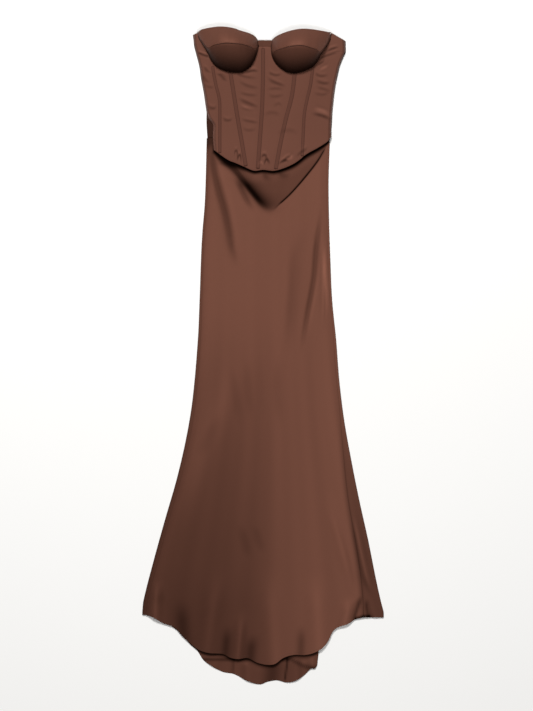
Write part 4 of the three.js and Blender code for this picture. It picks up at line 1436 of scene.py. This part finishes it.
    def dress(self) -> None:
        """Builds the four cup pieces, their topstitching and their tacks, and ties them to the part."""
        for side, table in (("left", self.left), ("right", self.right)):
            lower = self.build(f"cup_lower_{side}_pad", table, 0.0, 0.995, 34)
            upper = self.build(f"cup_upper_{side}_pad", table, 1.005, 2.0, 26)
            dress_piece(lower, (f"cup_lower_{side}",))
            dress_piece(upper, (f"cup_upper_{side}",))
        dress_piece(self.rows_of_stitches())
        dress_piece(self.build_tacks())


# The studio


@dataclass(frozen=True)
class Lamp:
    """A square soft box that faces its target. Lengths are in metres."""

    name: str
    place: tuple[float, float, float]
    target: tuple[float, float, float]
    size: float
    watts: float

    def add(self) -> None:
        """Adds the lamp to the scene."""
        data = bpy.data.lights.new(self.name, "AREA")
        data.size = self.size
        data.energy = self.watts
        lamp = bpy.data.objects.new(self.name, data)
        lamp.location = self.place
        facing = Vector(self.target) - Vector(self.place)
        lamp.rotation_euler = facing.to_track_quat("-Z", "Y").to_euler()
        lamp.visible_camera = False
        bpy.context.scene.collection.objects.link(lamp)


@dataclass(frozen=True)
class Studio:
    """A pale floor, soft lights and the camera straight above. Lengths are in metres."""

    view_height: float = 1.59975
    view_centre_x: float = 0.0079
    lens: float = 500.0
    sensor: float = 36.0
    floor_reach: float = 12.0
    floor_colour: str = "#f4f3f1"
    room_light: float = 0.07
    lamps: tuple[Lamp, ...] = (
        Lamp("key", (-0.6, 2.7, 4.3), (0.0, 0.1, 0.0), 1.3, 234.0),
        Lamp("overhead", (0.4, -0.7, 5.0), (0.0, -0.3, 0.0), 1.2, 86.0),
    )

    def add_floor(self) -> None:
        """A large matt white sheet under the dress."""
        mesh = bpy.data.meshes.new("floor")
        reach = self.floor_reach
        corners = [(-reach, -reach, 0.0), (reach, -reach, 0.0), (reach, reach, 0.0), (-reach, reach, 0.0)]
        mesh.from_pydata(corners, [], [(0, 1, 2, 3)])
        paper = bpy.data.materials.new("matt_paper")
        paper.use_nodes = True
        shader = paper.node_tree.nodes["Principled BSDF"]
        shader.inputs["Base Color"].default_value = srgb(self.floor_colour)
        shader.inputs["Roughness"].default_value = 0.9
        shader.inputs["Specular IOR Level"].default_value = 0.1
        mesh.materials.append(paper)
        floor = bpy.data.objects.new("floor", mesh)
        bpy.context.scene.collection.objects.link(floor)

    def add_camera(self) -> None:
        """A long lens straight above the dress, with the neckline at the top of the picture."""
        data = bpy.data.cameras.new("camera")
        data.lens = self.lens
        data.sensor_width = self.sensor
        distance = self.view_height * self.lens / self.sensor
        camera = bpy.data.objects.new("camera", data)
        camera.location = (self.view_centre_x, 0.0, distance)
        data.clip_end = 100.0
        bpy.context.scene.collection.objects.link(camera)
        bpy.context.scene.camera = camera

    def build(self) -> None:
        """Adds the floor, the lights, the room's weak light and the camera."""
        self.add_floor()
        for lamp in self.lamps:
            lamp.add()
        world = bpy.data.worlds.new("room")
        world.use_nodes = True
        world.node_tree.nodes["Background"].inputs["Color"].default_value = srgb("#ffffff")
        world.node_tree.nodes["Background"].inputs["Strength"].default_value = self.room_light
        bpy.context.scene.world = world
        bpy.context.scene.view_settings.view_transform = "Standard"
        self.add_camera()


def main() -> None:
    """Builds the dress's pieces in order, and the studio round them."""
    logging.basicConfig(level=logging.INFO, format="%(name)s: %(message)s")
    Skirt().dress()
    bodice = Bodice()
    bodice.dress()
    Cups(bodice).dress()
    Studio().build()


if __name__ == "__main__":
    main()
